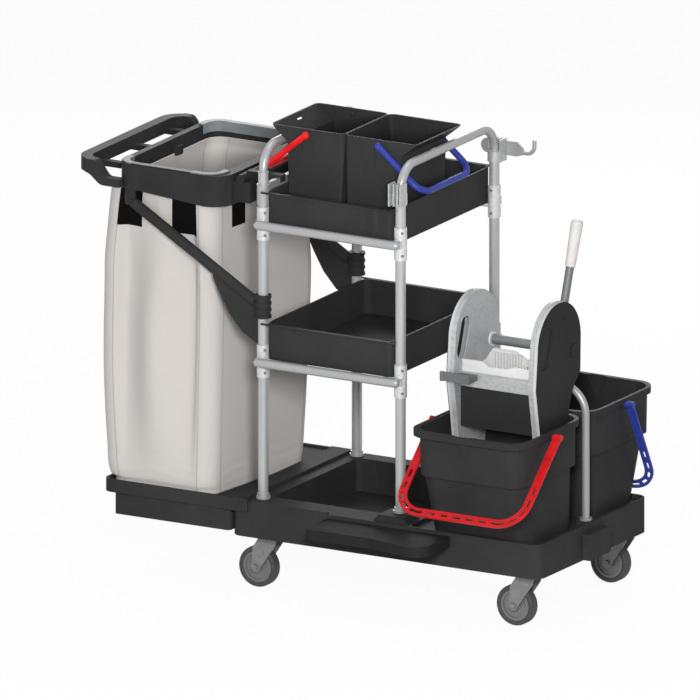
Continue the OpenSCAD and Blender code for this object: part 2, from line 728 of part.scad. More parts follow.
// Grey band that clamps one side of the bag: a flat cover on the ring and a lip inside it
clamp_t = 3;
clamp_keep = 66;
lip_h = 22;
module bag_clamp() {
  in = seat + clamp_t;
  cut = ring_y1 - ring_y0 - clamp_keep;
  translate([0, 0, ring_top + seat]) linear_extrude(clamp_t) difference() {
    rounded(ring_x0 + 3, ring_y0 + 3, open_x1 + 12, ring_y1 - 3, ring_r - 3);
    rounded(open_x0 + in, open_y0 + in, open_x1 - in, open_y1 - in, open_r - in);
    translate([ring_x0, ring_y0]) square([ring_l, cut]);
  }
  translate([0, 0, ring_top - lip_h]) linear_extrude(lip_h + 1) difference() {
    rounded(open_x0 + seat, open_y0 + seat, open_x1 - seat, open_y1 - seat, open_r - seat);
    rounded(open_x0 + in, open_y0 + in, open_x1 - in, open_y1 - in, open_r - in);
    translate([ring_x0, ring_y0]) square([ring_l, cut]);
  }
}
module bag_clamp_back() place() color(slate) bag_clamp();
module bag_clamp_front() place() color(slate)
  translate([0, open_y0 + open_y1, 0]) mirror([0, 1, 0]) bag_clamp();

// Curved tab that reaches up inside the corner of the ring
module ring_tab(edge_y) translate([0, 0, strut_top[1] - 6]) linear_extrude(ring_top - strut_top[1] + 1 - seat)
  intersection() {
    translate([ring_x0 + ring_r, edge_y + ring_r]) difference() {
      circle(ring_r - ring_skin - 0.5);
      circle(open_r + ring_skin + 0.5);
    }
    translate([strut_top[0] - 30, edge_y]) square([33, 24]);
  }

// Strut from the ring to the clamp on a left post, with its web and the tab inside the ring
module strut(edge_y) {
  dx = strut_low[0] - strut_top[0];
  dz = strut_low[1] - strut_top[1];
  tilt = atan2(dx, dz);
  web = 6;
  difference() {
    union() {
      translate([strut_top[0], 0, strut_top[1]]) rotate([0, tilt, 0])
        cylinder(h = norm([dx, dz]) + 20, r = strut_r);
      translate([strut_top[0], 0, strut_top[1]]) sphere(strut_r);
      along_y(-web / 2, web / 2) polygon([
        [strut_low[0] - 116, 768], [strut_low[0] - 116, 745], [strut_low[0] - 96, 705],
        [strut_low[0] - 70, 660], [strut_low[0] - 36, 622], [strut_low[0], tail_z],
        [strut_low[0], strut_low[1]]
      ]);
      ring_tab(edge_y);
    }
    block(strut_low[0] - seat, -50, 560, strut_low[0] + 80, 50, 800);
  }
}
module mirrored_back() translate([0, frame_w, 0]) mirror([0, 1, 0]) children();
module strut_front() place() color(black_plastic) strut(ring_y0);
module strut_back() place() color(black_plastic)
  mirrored_back() strut(frame_w - ring_y1);

// Ribbed clamps that hold the struts on the left posts
module strut_clamp() difference() {
  union() {
    translate([0, 0, clamp_z0]) cylinder(h = clamp_z1 - clamp_z0, r = clamp_r - 2);
    for (z = [clamp_z0, clamp_z0 + 16, clamp_z0 + 32, clamp_z1 - 6])
      translate([0, 0, z]) cylinder(h = 6, r = clamp_r);
    block(strut_low[0], -8, tail_z, 0, 8, clamp_z1);
  }
  translate([0, 0, tail_z - 1]) cylinder(h = 140, r = post_r + slip);
  block(0, -30, tail_z - 1, 30, 30, clamp_z0);
}
module strut_clamps() place() color(black_plastic) {
  strut_clamp();
  mirrored_back() strut_clamp();
}

// Bag sections from the floor up: height, left, right at the back, front, back, right at the front
bag_t = 3;
bag_low = platform_floor + seat;
bag_face = strut_r + 3;
bag_side = ring_x1 - 7;
bag_near = ring_x1 - 40;
bag_rows = [
  [bag_low, platform_x0 + 9, ring_x1 + 25, -42, frame_w - 93, ring_x1 - 11],
  [platform_top + 1, platform_x0 + 9, ring_x1 + 25, -42, frame_w - 93, ring_x1 - 11],
  [platform_top + 8, ring_x0 - 7, ring_x1 + 25, -44, frame_w - 92, ring_x1 - 12],
  [bag_low + 85, ring_x0 - 20, ring_x1 + 21, -35, frame_w - 74, ring_x1 - 15],
  [bag_low + 285, ring_x0 - 42, ring_x1 + 15, -15, frame_w - 44, ring_x1 - 22],
  [bag_low + 505, ring_x0 - 57, ring_x1 + 8, bag_face, frame_w - 21, ring_x1 - 38],
  [ring_top - 164, ring_x0 - 48, bag_side, bag_face, frame_w - 21, bag_near],
  [ring_top - 80, ring_x0 - 38, bag_side, bag_face, frame_w - 21, bag_near],
  [ring_low_left - 8, ring_x0 - 35, bag_side, bag_face, frame_w - 21, bag_near],
  [ring_low_left - 6, ring_x0 + 8, bag_side, bag_face, frame_w - 21, bag_near],
  [ring_top - 50, open_x0 + 3, open_x1 - 3, open_y0 + 3, open_y1 - 3, open_x1 - 3],
  [ring_top - 36, open_x0 + 3, open_x1 - 3, open_y0 + 3, open_y1 - 3, open_x1 - 3]
];
bag_sides = 32;
bag_round = 42;

// Points of one bag section, as a rounded rectangle of four corner arcs
function bag_ring_points(row, w) = [
  for (i = [0 : bag_sides - 1])
    let (
      q = floor(i / (bag_sides / 4)),
      a = 90 * q + 90 * (i % (bag_sides / 4)) / (bag_sides / 4 - 1),
      r = bag_round - w,
      cx = q == 0 ? row[2] - bag_round : q == 3 ? row[5] - bag_round : row[1] + bag_round,
      cy = q < 2 ? row[4] - bag_round : row[3] + bag_round
    )
    [cx + r * cos(a), cy + r * sin(a), row[0]]
];

// Open bag: outer skin from the bottom up, then the inner skin back down
module bag() place() color(canvas) {
  inner = [for (i = [len(bag_rows) - 1 : -1 : 0])
    [for (k = [0 : 5]) bag_rows[i][k] + (i == 0 && k == 0 ? bag_t : 0)]];
  rings = [
    for (row = bag_rows) bag_ring_points(row, 0),
    for (row = inner) bag_ring_points(row, bag_t)
  ];
  n = bag_sides;
  m = len(rings);
  points = [for (ring = rings) for (p = ring) p];
  walls = [for (k = [0 : m - 2]) for (i = [0 : n - 1]) let (j = (i + 1) % n)
    each [[k * n + i, k * n + n + i, k * n + j], [k * n + j, k * n + n + i, k * n + n + j]]];
  low = [for (i = [1 : n - 2]) [0, i, i + 1]];
  top = [for (i = [1 : n - 2]) [(m - 1) * n, (m - 1) * n + i + 1, (m - 1) * n + i]];
  polyhedron(points, concat(walls, low, top));
}

// Dark reinforcing patches on the bag below the ring
patch_t = 1;
module bag_patches() place() color(black_plastic) {
  z0 = ring_top - 160;
  z1 = ring_top - 78;
  y1 = bag_face - seat;
  for (x = [ring_x0 + 4, ring_x0 + 147]) block(x, y1 - patch_t, z0, x + 62, y1, z1);
  lean = atan2(bag_side - bag_near, frame_w - 21 - bag_face - 2 * bag_round);
  translate([bag_near, bag_face + bag_round, 0]) rotate([0, 0, -lean])
    block(seat, 39, z0 + 10, seat + patch_t, 94, z1);
}

// Mop bucket with its pouring lip to the front, centred on its rim
module bucket() {
  l = bucket_l / 2;
  w = bucket_w / 2;
  t = bucket_wall;
  z0 = bucket_low;
  difference() {
    union() {
      slab(-l, -w, l, w, 52, bucket_top - rim_h, bucket_top);
      tapered(-l + 12, -w + 10, l - 5, w - 8, 50, ledge_z - t, bucket_top - 1, 5, 6, 3, 4);
      tapered(-l + 19, -w + 22, l - 14, w - 20, 46, z0, ledge_z, 1, w - 101, 3, 8);
      hull() {
        $fn = 32;
        translate([-5, -w + 20, bucket_top - 66]) sphere(5);
        translate([-5, -w + 21, bucket_top - 5]) scale([2, 1, 1]) cylinder(h = 4, r = 18);
      }
      for (s = [-1, 1]) translate([s > 0 ? l - 10 : -l - 1.4, pivot_y, pivot_z]) bar_x(0, 11.4, 11);
    }
    tapered(-l + 12 + t, -w + 10 + t, l - 5 - t, w - 8 - t, 47, ledge_z, bucket_top + 1, 5, 6, 3, 4);
    tapered(-l + 19 + t, -w + 22 + t, l - 14 - t, w - 20 - t, 43, z0 + t, ledge_z + 1, 1, w - 101, 3, 8);
    hull() {
      $fn = 32;
      translate([-5, -w + 23, bucket_top - 62]) sphere(5);
      translate([-5, -w + 24, bucket_top - 5]) scale([2, 1, 1]) cylinder(h = 6, r = 17);
    }
    translate([0, pivot_y, pivot_z]) bar_x(-l - 20, l + 20, bail_pin_r + run);
  }
}
module at_front_bucket() translate([bucket_x, bucket_y, 0]) children();
module at_back_bucket() translate([bucket_x, 2 * mid_y - bucket_y, 0]) mirror([0, 1, 0]) children();
module bucket_front() place() color(black_plastic) at_front_bucket() bucket();
module bucket_back() place() color(black_plastic) at_back_bucket() bucket();

// Flat outline of a bail: a U with rounded corners
module bail_outline(half, reach, r) {
  translate([-half, 0]) square([2 * half, reach - r]);
  translate([-half + r, 0]) square([2 * half - 2 * r, reach]);
  for (s = [-1, 1]) translate([s * (half - r), reach - r]) circle(r);
}

// Slotted flat bail of a mop bucket, turned down by an angle
module bail(rest) translate([0, pivot_y, pivot_z]) rotate([180 + rest, 0, 0]) {
  band = bail_band;
  out = bail_reach + band / 2;
  slots = 6;
  step = 2 * (bail_half - bail_corner) / slots;
  translate([0, 0, -bail_t / 2]) linear_extrude(bail_t) difference() {
    bail_outline(bail_half, out, bail_corner);
    translate([0, -1]) bail_outline(bail_half - band, out - band + 1, bail_corner - band);
    for (i = [0 : slots]) translate([-bail_half + bail_corner + i * step, bail_reach])
      slot_outline(bail_slot[0], bail_slot[1]);
    for (s = [-1, 1]) {
      translate([s * (bail_half - bail_corner), out - bail_corner]) for (a = [24, 50, 76])
        rotate([0, 0, s > 0 ? a : 180 - a]) translate([bail_corner - band / 2, 0]) rotate([0, 0, 90])
          slot_outline(bail_slot[0], bail_slot[1]);
      for (k = [0, 1]) translate([s * (bail_half - band / 2), out - bail_corner - 4 - k * step])
        rotate([0, 0, 90]) slot_outline(bail_slot[0], bail_slot[1]);
    }
  }
  for (s = [-1, 1]) {
    x0 = s > 0 ? bail_half - band : -bail_half;
    translate([x0, 0, 0]) bar_x(0, band, 8);
    translate([s > 0 ? bail_half - band - 10 : -bail_half + band - 1, 0, 0]) bar_x(0, 11, bail_pin_r);
  }
}
module bail_front() place() color(red_plastic) at_front_bucket() bail(bail_rest_front);
module bail_back() place() color(blue_plastic) at_back_bucket() bail(bail_rest_back);

// Hoop that stands between the two mop buckets
module divider_hoop() place() color(silver_tube) translate([hoop_x[1], mid_y, 0]) rotate([0, 0, 90]) {
  tube_arch(hoop_x[1] - hoop_x[0], base_top, hoop_top, hoop_bend, hoop_r);
  for (y = [0, hoop_x[1] - hoop_x[0]]) translate([0, y, base_top]) cylinder(h = 6, r = hoop_r + 6);
}

// Outline of a wringer side in Y and Z: a domed plate that steps over the hoop
module side_outline(inset) {
  y = wring_y;
  translate([dome_y, dome_z]) circle(dome_r - inset);
  polygon([
    [dome_y - dome_r + inset, dome_z], [y - 41 + inset, 577], [y - 22 + inset, 472],
    [y - 8 + inset, plate_low + inset], [y + 108 - inset, plate_low + inset],
    [y + 120 - inset, 500], [y + 138 - inset, 546], [y + 174 - inset, 579 + inset],
    [dome_y + dome_r - inset, dome_z]
  ]);
}

// Hand slot near the front edge of a wringer side
module hand_slot() translate([wring_y + 8, 670]) rotate(72) slot_outline(104, 44);

// Wringer sides: web, edge flange, shaft bore and press slot
module wringer_plates() place() color(plate_grey)
  translate([bucket_x, 0, 0]) for (s = [0, 1]) mirror([s, 0, 0])
  difference() {
    union() {
      along_x(web_in, web_in + web_t) side_outline(0);
      along_x(web_in, flange_out) difference() {
        side_outline(0);
        side_outline(7);
      }
      along_x(web_in, flange_out) translate([shaft_y, shaft_z]) circle(shaft_r + 9);
    }
    along_x(web_in - 1, flange_out + 1) hand_slot();
    translate([0, shaft_y, shaft_z]) bar_x(web_in - 1, flange_out + 1, shaft_r + 4);
    along_x(web_in - 1, flange_out + 1) translate([press_y - press_travel / 2, press_slot_z])
      slot_outline(press_travel + 2 * press_pin_r + 2 * slip, 2 * press_pin_r + 2 * slip);
  }

// Black outer covers of the wringer sides
module wringer_covers() place() color(black_plastic)
  translate([bucket_x, 0, 0]) for (s = [0, 1]) mirror([s, 0, 0])
  difference() {
    union() {
      along_x(flange_out, cover_out) side_outline(2);
      along_x(cover_out - 1, cover_out + 2) translate([shaft_y, shaft_z]) circle(18);
    }
    along_x(flange_out - 1, cover_out - 4) side_outline(8);
    along_x(cover_out - 5, cover_out + 1) hand_slot();
  }

// Cross members between the wringer sides
module between(y0, z0, y1, z1)
  block(bucket_x - web_in + seat / 2, y0, z0, bucket_x + web_in - seat / 2, y1, z1);
module wringer_panel() place() color(black_plastic) between(basket_y - 8, 456, basket_y - 2, 557 - seat);
module wringer_crossbar() place() color(cast_grey) between(basket_y - 14, 557, basket_y - seat, 590);

// Drain deck that rests on the ledge inside the front bucket
module wringer_deck() place() color(black_plastic) at_front_bucket() difference() {
  l = bucket_l / 2;
  w = bucket_w / 2;
  t = bucket_wall + 0.5;
  slab(-l + 17 + t, -w + 16 + t, l - 8 - t, w - 12 - t, 42, deck_z, deck_top);
  for (x = [-3 : 3]) for (y = [-1, 0, 1]) translate([x * 30, y * 62, deck_z - 1]) linear_extrude(9)
    rotate(90) slot_outline(46, 10);
}

// White basket plate behind the crossbar, with a waved top edge
module basket_plate() place() color(white_plastic) translate([bucket_x, 0, 0]) difference() {
  w = web_in - seat / 2;
  along_y(basket_y, basket_y + 5) difference() {
    polygon([[-w, 470], [w, 470], [w, 612], [40, 616], [20, 608], [-30, 608], [-50, 619], [-w, 619]]);
    for (x = [-3 : 3]) translate([x * 26, 540]) rotate(90) slot_outline(90, 8);
  }
}

// White ribbed press plate with guide pins that run in the side plates
module press_plate() place() color(white_plastic) translate([bucket_x, 0, 0]) {
  w = web_in - free;
  along_y(press_y, press_y + 7) polygon([
    [-w, 500], [w, 500], [w, 598], [60, 604], [20, 612], [-10, 628], [-70, 628], [-88, 600], [-w, 590]
  ]);
  for (x = [-64 : 8 : 8]) block(x, press_y - 5, 510, x + 3, press_y + 1, 622);
  for (x = [16 : 8 : 80]) block(x, press_y - 5, 510, x + 3, press_y + 1, 596);
  for (s = [-1, 1]) translate([s > 0 ? w - 6 : -flange_out + 2, press_y, press_slot_z])
    bar_x(0, flange_out - w + 4, press_pin_r);
}

// Grey ledge clip on the left front edge, for resting a mop
module mop_ledge() place() color(slate) translate([bucket_x, 0, 0]) {
  y1 = basket_y - 14 - seat / 2;
  y0 = wring_y - 57;
  block(-web_in + 3, y0, 575, -52, y1, 589);
  block(-cover_out - 2, y0, 575, -52, y0 + 6, 597);
  translate([-cover_out - 2, y0 + 3, 575]) cylinder(h = 22, r = 6);
}

// Bushes that carry the shaft
module shaft_bushes() place() color(white_plastic) translate([bucket_x, shaft_y, shaft_z])
  for (s = [0, 1]) mirror([s, 0, 0]) difference() {
    union() {
      bar_x(web_in - 4, web_in - seat, shaft_r + 6);
      bar_x(web_in - 1, flange_out - 1, shaft_r + 4 - slip);
    }
    bar_x(0, flange_out + 5, shaft_r + run);
  }

// Shaft that the lever turns
module wringer_shaft() place() color(silver_tube) translate([bucket_x, shaft_y, shaft_z])
  bar_x(-flange_out + 1, flange_out - 1, shaft_r);

// Direction of the upper part of the lever
lever_dir = [0, sin(lever_lean), cos(lever_lean)];

// Lever: hub on the shaft, straight stem and a stem that leans back
module wringer_lever() place() color(silver_tube) translate([lever_x, shaft_y, 0]) difference() {
  union() {
    translate([0, 0, shaft_z]) bar_x(-lever_r, lever_r, shaft_r + 7);
    translate([0, 0, shaft_z]) cylinder(h = lever_bend_z - shaft_z, r = lever_r - 1);
    translate([0, 0, lever_bend_z]) sphere(lever_r);
    translate([0, 0, lever_bend_z]) rotate([-lever_lean, 0, 0]) cylinder(h = lever_len, r = lever_r - 1);
  }
  translate([0, 0, shaft_z]) bar_x(-40, 40, shaft_r + run);
}

// Tapered grip closed over the end of the lever
module lever_grip() place() color(white_plastic)
  translate([lever_x, shaft_y, lever_bend_z]) rotate([-lever_lean, 0, 0])
  difference() {
    union() {
      translate([0, 0, grip_start])
        cylinder(h = lever_len - grip_start, r1 = lever_r + 1.5, r2 = lever_r + 4);
      translate([0, 0, lever_len]) cylinder(h = 6, r1 = lever_r + 4, r2 = lever_r);
    }
    translate([0, 0, grip_start - 1]) cylinder(h = lever_len - grip_start + 1 + seat, r = lever_r - 1 + slip);
  }

base_chassis();
front_step();
side_bumper();
bag_platform();
caster_plates();
caster_fork_fl();
caster_fork_fr();
caster_fork_bl();
caster_fork_br();
caster_hub_fl();
caster_hub_fr();
caster_hub_bl();
caster_hub_br();
caster_tyre_fl();
caster_tyre_fr();
caster_tyre_bl();
caster_tyre_br();
posts();
post_feet();
left_arch();
right_arch();
upper_rails();
lower_rails();
rail_sleeves();
sleeve_screws();
ring_carrier();
tool_clips();
mop_hook();
upper_tray();
middle_tray();
pail_red();
pail_blue();
pail_bail_red();
pail_bail_blue();
bag_ring();
bag_clamp_front();
bag_clamp_back();
strut_front();
strut_back();
strut_clamps();
bag();
bag_patches();
bucket_front();
bucket_back();
bail_front();
bail_back();
divider_hoop();
wringer_plates();
wringer_covers();
wringer_panel();
wringer_crossbar();
wringer_deck();
basket_plate();
press_plate();
mop_ledge();
shaft_bushes();
wringer_shaft();
wringer_lever();
lever_grip();
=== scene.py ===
# %% [markdown]
# # A janitor cart, dressed in Blender
#
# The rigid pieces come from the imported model: tubes, trays, buckets, wringer and casters already have
# their true shapes. This lesson adds what a solid modeller can't give well: the hanging cloth bag, its
# hem and patches, small moulded ribs, and a finish for every surface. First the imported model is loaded,
# and its box is kept to compare with at the end.

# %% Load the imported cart
import math

import bpy
import numpy as np
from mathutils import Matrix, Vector


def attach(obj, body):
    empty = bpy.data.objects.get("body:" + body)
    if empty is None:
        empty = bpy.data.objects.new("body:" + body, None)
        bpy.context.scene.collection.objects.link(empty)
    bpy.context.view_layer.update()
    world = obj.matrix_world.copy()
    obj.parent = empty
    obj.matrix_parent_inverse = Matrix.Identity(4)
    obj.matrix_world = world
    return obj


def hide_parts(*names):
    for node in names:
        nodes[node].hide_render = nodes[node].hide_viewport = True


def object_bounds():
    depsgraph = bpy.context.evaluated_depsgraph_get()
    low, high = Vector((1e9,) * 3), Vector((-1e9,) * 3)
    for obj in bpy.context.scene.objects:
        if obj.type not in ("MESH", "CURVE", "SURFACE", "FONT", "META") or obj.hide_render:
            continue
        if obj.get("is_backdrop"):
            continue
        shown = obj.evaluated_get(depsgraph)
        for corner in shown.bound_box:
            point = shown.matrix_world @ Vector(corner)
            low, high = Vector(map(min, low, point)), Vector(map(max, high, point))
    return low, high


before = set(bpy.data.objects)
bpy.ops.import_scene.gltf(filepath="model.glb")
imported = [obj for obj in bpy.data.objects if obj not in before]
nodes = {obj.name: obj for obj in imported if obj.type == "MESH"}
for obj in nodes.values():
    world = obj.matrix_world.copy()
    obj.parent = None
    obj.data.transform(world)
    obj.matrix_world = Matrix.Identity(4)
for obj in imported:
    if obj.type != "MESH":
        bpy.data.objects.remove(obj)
cad_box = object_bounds()

# %% [markdown]
# ## The camera
#
# The photograph has no vanishing points: edges that are parallel on the cart are parallel in the picture.
# An orthographic camera shows that. It stands to the right of the front, a little above the trays.

# %% Make the camera
aim = Vector((-0.0093, 0.0, 0.5594))
turn, rise = math.radians(29.8), math.radians(15.2)
picture_width, camera_distance = 1.667, 6
towards = Vector((math.sin(turn) * math.cos(rise), -math.cos(turn) * math.cos(rise), math.sin(rise)))
camera = bpy.data.objects.new("camera", bpy.data.cameras.new("camera"))
camera.data.type = "ORTHO"
camera.data.ortho_scale = picture_width
camera.data.clip_end = 30
camera.location = aim + towards * camera_distance
camera.rotation_euler = (-towards).to_track_quat("-Z", "Y").to_euler()
bpy.context.scene.collection.objects.link(camera)
bpy.context.scene.camera = camera
bpy.context.scene.view_settings.view_transform = "Standard"
print("camera looks from", tuple(round(x, 3) for x in towards))

# %% [markdown]
# ## Shader maths as plain expressions
#
# A material is a graph of nodes. Written node by node it is long and hard to read, so one small class
# stands for a socket. It knows plus, minus, times, divided by and power, and each of these adds a Math
# node. A second class holds one material, and its node method makes any other node: the type, its
# settings, then its sockets.

# %% Wire and Finish
class Wire:
    """One output socket of a material, on which ordinary maths can be done."""

    def __init__(self, finish, socket):
        self.finish, self.socket = finish, socket

    def math(self, operation, a, b=0.0):
        return self.finish.node("ShaderNodeMath", {"operation": operation}, {0: a, 1: b})

    def __add__(self, other): return self.math("ADD", self, other)
    def __radd__(self, other): return self.math("ADD", other, self)
    def __sub__(self, other): return self.math("SUBTRACT", self, other)
    def __rsub__(self, other): return self.math("SUBTRACT", other, self)
    def __mul__(self, other): return self.math("MULTIPLY", self, other)
    def __rmul__(self, other): return self.math("MULTIPLY", other, self)
    def __truediv__(self, other): return self.math("DIVIDE", self, other)
    def __rtruediv__(self, other): return self.math("DIVIDE", other, self)
    def __pow__(self, other): return self.math("POWER", self, other)
    def __abs__(self): return self.math("ABSOLUTE", self)
    def sine(self): return self.math("SINE", self)

    def band(self, low, high):
        """0 below low, 1 above high, and smooth between them; swapped limits turn it round."""
        return self.finish.node("ShaderNodeMapRange", {"interpolation_type": "SMOOTHSTEP"},
                                {"Value": self, "From Min": low, "From Max": high})


class Finish:
    """One material: a Principled shader whose plain values are set at once, and a place to add nodes."""

    def __init__(self, name, colour, roughness, metallic=0.0, **plain):
        self.material = bpy.data.materials.new(name)
        self.material.use_nodes = True
        self.tree = self.material.node_tree
        self.shader = self.tree.nodes["Principled BSDF"]
        self.colour = tuple(colour)
        values = {"Base Color": (*colour, 1), "Roughness": roughness, "Metallic": metallic, **plain}
        for socket, value in values.items():
            self.shader.inputs[socket].default_value = value

    def node(self, kind, settings, sockets, out=0):
        """A node of this kind: settings first, then a value or a Wire for each socket.
        A socket is named by its name, identifier or number."""
        made = self.tree.nodes.new(kind)
        for name, value in settings.items():
            setattr(made, name, value)
        for key, value in sockets.items():
            found = made.inputs[key] if isinstance(key, int) else next(
                s for s in made.inputs if key in (s.identifier, s.name) and s.enabled)
            if isinstance(value, Wire):
                self.tree.links.new(value.socket, found)
            else:
                found.default_value = value
        outlet = made.outputs[out] if isinstance(out, int) else next(
            s for s in made.outputs if out in (s.identifier, s.name) and s.enabled)
        return Wire(self, outlet)

    def place(self, stretch=(1, 1, 1)):
        """The point on the piece, in metres, stretched along each axis."""
        point = self.node("ShaderNodeTexCoord", {}, {}, "Object")
        return self.node("ShaderNodeMapping", {}, {"Vector": point, "Scale": stretch})

    def noise(self, scale, detail=3.0, stretch=(1, 1, 1), rough=0.55):
        sockets = {"Vector": self.place(stretch), "Scale": scale, "Detail": detail, "Roughness": rough}
        return self.node("ShaderNodeTexNoise", {}, sockets)

    def axis(self, letter):
        return self.node("ShaderNodeSeparateXYZ", {}, {0: self.place()}, letter)

    def blend(self, share, first, second):
        """A colour between two others; each is a tuple or a Wire."""
        pick = lambda c: c if isinstance(c, Wire) else (*c, 1)
        sockets = {"Factor_Float": share, "A_Color": pick(first), "B_Color": pick(second)}
        return self.node("ShaderNodeMix", {"data_type": "RGBA"}, sockets, "Result_Color")

    def feed(self, **wires):
        for socket, wire in wires.items():
            self.tree.links.new(wire.socket, self.shader.inputs[socket.replace("_", " ")])

    def bump(self, height, depth):
        """Small relief: height runs from 0 to 1, and depth is its real size in metres."""
        relief = self.node("ShaderNodeBump", {}, {"Height": height, "Distance": depth, "Strength": 1.0})
        self.feed(Normal=relief)


def shade(colour, factor):
    return tuple(min(1.0, c * factor) for c in colour)


def dress(material, *names):
    """Gives a finish to CAD nodes by putting it into their material slots."""
    for name in names:
        data = nodes[name].data
        data.materials.clear()
        data.materials.append(material)
    print(material.name, "on", len(names), "nodes")

# %% [markdown]
# ## Black moulded plastic
#
# Most of the cart is black polypropylene. Real mouldings aren't one flat black: the tool leaves a fine
# leather-like grain, the surface is a little greyer where it was handled, and thin scuffs catch the
# light. Noise at three scales gives that: wide for the tone, narrow and stretched for scuffs, and very
# fine for the grain.

# %% Black plastics
black_gloss = {"Specular IOR Level": 0.025}


def black_plastic(name, tone, roughness, grain):
    finish = Finish(name, (tone, tone, tone * 1.02), roughness, **black_gloss)
    wide = finish.noise(5.0, 4.0)
    scuff = finish.noise(38.0, 5.0, (1.0, 1.0, 0.12)).band(0.60, 0.78)
    worn = finish.blend(wide.band(0.3, 0.7), shade(finish.colour, 0.88), shade(finish.colour, 1.16))
    finish.feed(Base_Color=finish.blend(scuff * 0.30, worn, shade(finish.colour, 2.0)),
                Roughness=roughness + 0.12 * (wide - 0.5) + 0.10 * scuff)
    finish.bump(finish.noise(grain, 2.0) + 0.5 * finish.noise(grain * 0.31, 2.0), 0.00018)
    return finish.material


black_base = black_plastic("black_base", 0.031, 0.56, 700.0)
black_tray = black_plastic("black_tray", 0.031, 0.46, 900.0)
black_bucket = black_plastic("black_bucket", 0.027, 0.46, 1100.0)
black_ring = black_plastic("black_ring", 0.029, 0.44, 800.0)
black_cover = black_plastic("black_cover", 0.028, 0.44, 800.0)
black_step = black_plastic("black_step", 0.018, 0.62, 500.0)
dress(black_base, "base_chassis", "side_bumper", "bag_platform")
dress(black_step, "front_step")
dress(black_tray, "upper_tray", "middle_tray", "pail_red", "pail_blue")
dress(black_bucket, "bucket_front", "bucket_back", "wringer_deck")
dress(black_ring, "bag_ring", "strut_front", "strut_back", "strut_clamps")
dress(black_cover, "wringer_panel")

# %% [markdown]
# The sides of the wringer have a black outer face inside a pale metal rim. Both belong to one node here,
# so the finish tells them apart by the distance from the wringer's middle plane: only the outermost
# millimetre is black. The walls of the hand slot are black too. They are found by turning Y and Z into
# the slot's own directions.

# %% Wringer sides
wringer_middle, black_from, soft_edge = 0.473, 0.1222, 0.0004
slot_at, slot_half, slot_tilt = (-0.1185, 0.670), (0.0535, 0.0235), math.radians(72)


def rimmed_cover(name, black, rim, roughness):
    finish = Finish(name, black, roughness, **black_gloss)
    outer = abs(finish.axis("X") - wringer_middle).band(black_from - soft_edge, black_from + soft_edge)
    y, z = finish.axis("Y") - slot_at[0], finish.axis("Z") - slot_at[1]
    lengthwise = abs(y * math.cos(slot_tilt) + z * math.sin(slot_tilt))
    crosswise = abs(z * math.cos(slot_tilt) - y * math.sin(slot_tilt))
    in_slot = lengthwise.band(slot_half[0] + soft_edge, slot_half[0] - soft_edge) \
        * crosswise.band(slot_half[1] + soft_edge, slot_half[1] - soft_edge)
    outer = outer + in_slot - outer * in_slot
    wide, grain = finish.noise(6.0, 4.0), finish.noise(800.0, 2.0)
    face = finish.blend(wide.band(0.3, 0.7), shade(black, 0.88), shade(black, 1.14))
    edge = finish.blend(wide.band(0.3, 0.7), shade(rim, 0.92), shade(rim, 1.06))
    finish.feed(Base_Color=finish.blend(outer, edge, face), Roughness=roughness + 0.12 * (wide - 0.5))
    finish.bump(grain, 0.00014)
    return finish.material


dress(rimmed_cover("rimmed_cover", (0.024, 0.024, 0.0245), (0.46, 0.465, 0.47), 0.46), "wringer_covers")

# %% [markdown]
# ## Silver tubes
#
# The frame is drawn tube with a satin silver coat. Drawing leaves hair lines along the tube, so the noise
# is stretched along the tube's own axis: upright for the posts, sideways for rails and arches. The coat
# is less mirror-like than bare metal, so Metallic stays below 1 and the roughness varies along the lines.
# The rails and arches take slightly darker copies of the same coat, which is painted shade.

# %% Tubes and castings
def silver_tube(name, colour, stretch, roughness=0.36, metallic=0.30):
    finish = Finish(name, colour, roughness, metallic)
    lines = finish.noise(260.0, 3.0, stretch)
    cloud = finish.noise(9.0, 3.0)
    finish.feed(Base_Color=finish.blend(0.6 * lines + 0.4 * cloud, shade(colour, 0.90), shade(colour, 1.08)),
                Roughness=roughness + 0.16 * (lines - 0.5) + 0.08 * (cloud - 0.5))
    finish.bump(lines, 0.00006)
    return finish.material


tube_colour = (0.385, 0.388, 0.392)
tube_up = silver_tube("tube_upright", tube_colour, (1.0, 1.0, 0.02))
# painted shade: the rails and arches are darker copies of the upright coat, at 0.90 and 0.86 of its colour
tube_along_painted_shade = silver_tube("tube_along_painted_shade", shade(tube_colour, 0.90), (0.02, 1.0, 1.0))
tube_across_painted_shade = silver_tube("tube_across_painted_shade", shade(tube_colour, 0.86), (1.0, 0.02, 1.0))
hoop_grey = silver_tube("hoop_silver", shade(tube_colour, 0.74), (1.0, 1.0, 0.02))
lever_grey = silver_tube("lever_coat", (0.125, 0.127, 0.13), (1.0, 1.0, 0.03), 0.50, 0.10)
shaft_grey = silver_tube("shaft_coat", (0.20, 0.205, 0.21), (0.03, 1.0, 1.0), 0.40, 0.40)
dress(tube_up, "posts", "post_feet")
dress(tube_along_painted_shade, "upper_rails", "lower_rails", "mop_hook")
dress(tube_across_painted_shade, "left_arch", "right_arch", "ring_carrier")
dress(hoop_grey, "divider_hoop")
dress(lever_grey, "wringer_lever")
dress(shaft_grey, "wringer_shaft")


def cast_metal(name, colour, roughness, metallic, grain, depth):
    """Sand-cast or pressed metal: a grainy relief and patches of slightly different tone."""
    finish = Finish(name, colour, roughness, metallic)
    cells = finish.node("ShaderNodeTexVoronoi", {"feature": "F1"},
                        {"Vector": finish.place(), "Scale": grain * 0.4}, "Color")
    tone = finish.node("ShaderNodeSeparateColor", {}, {0: cells}, 0)
    grit = finish.noise(grain, 3.0)
    finish.feed(Base_Color=finish.blend(tone, shade(colour, 0.90), shade(colour, 1.10)),
                Roughness=roughness + 0.14 * (grit - 0.5) + 0.08 * (tone - 0.5))
    finish.bump(grit, depth)
    return finish.material


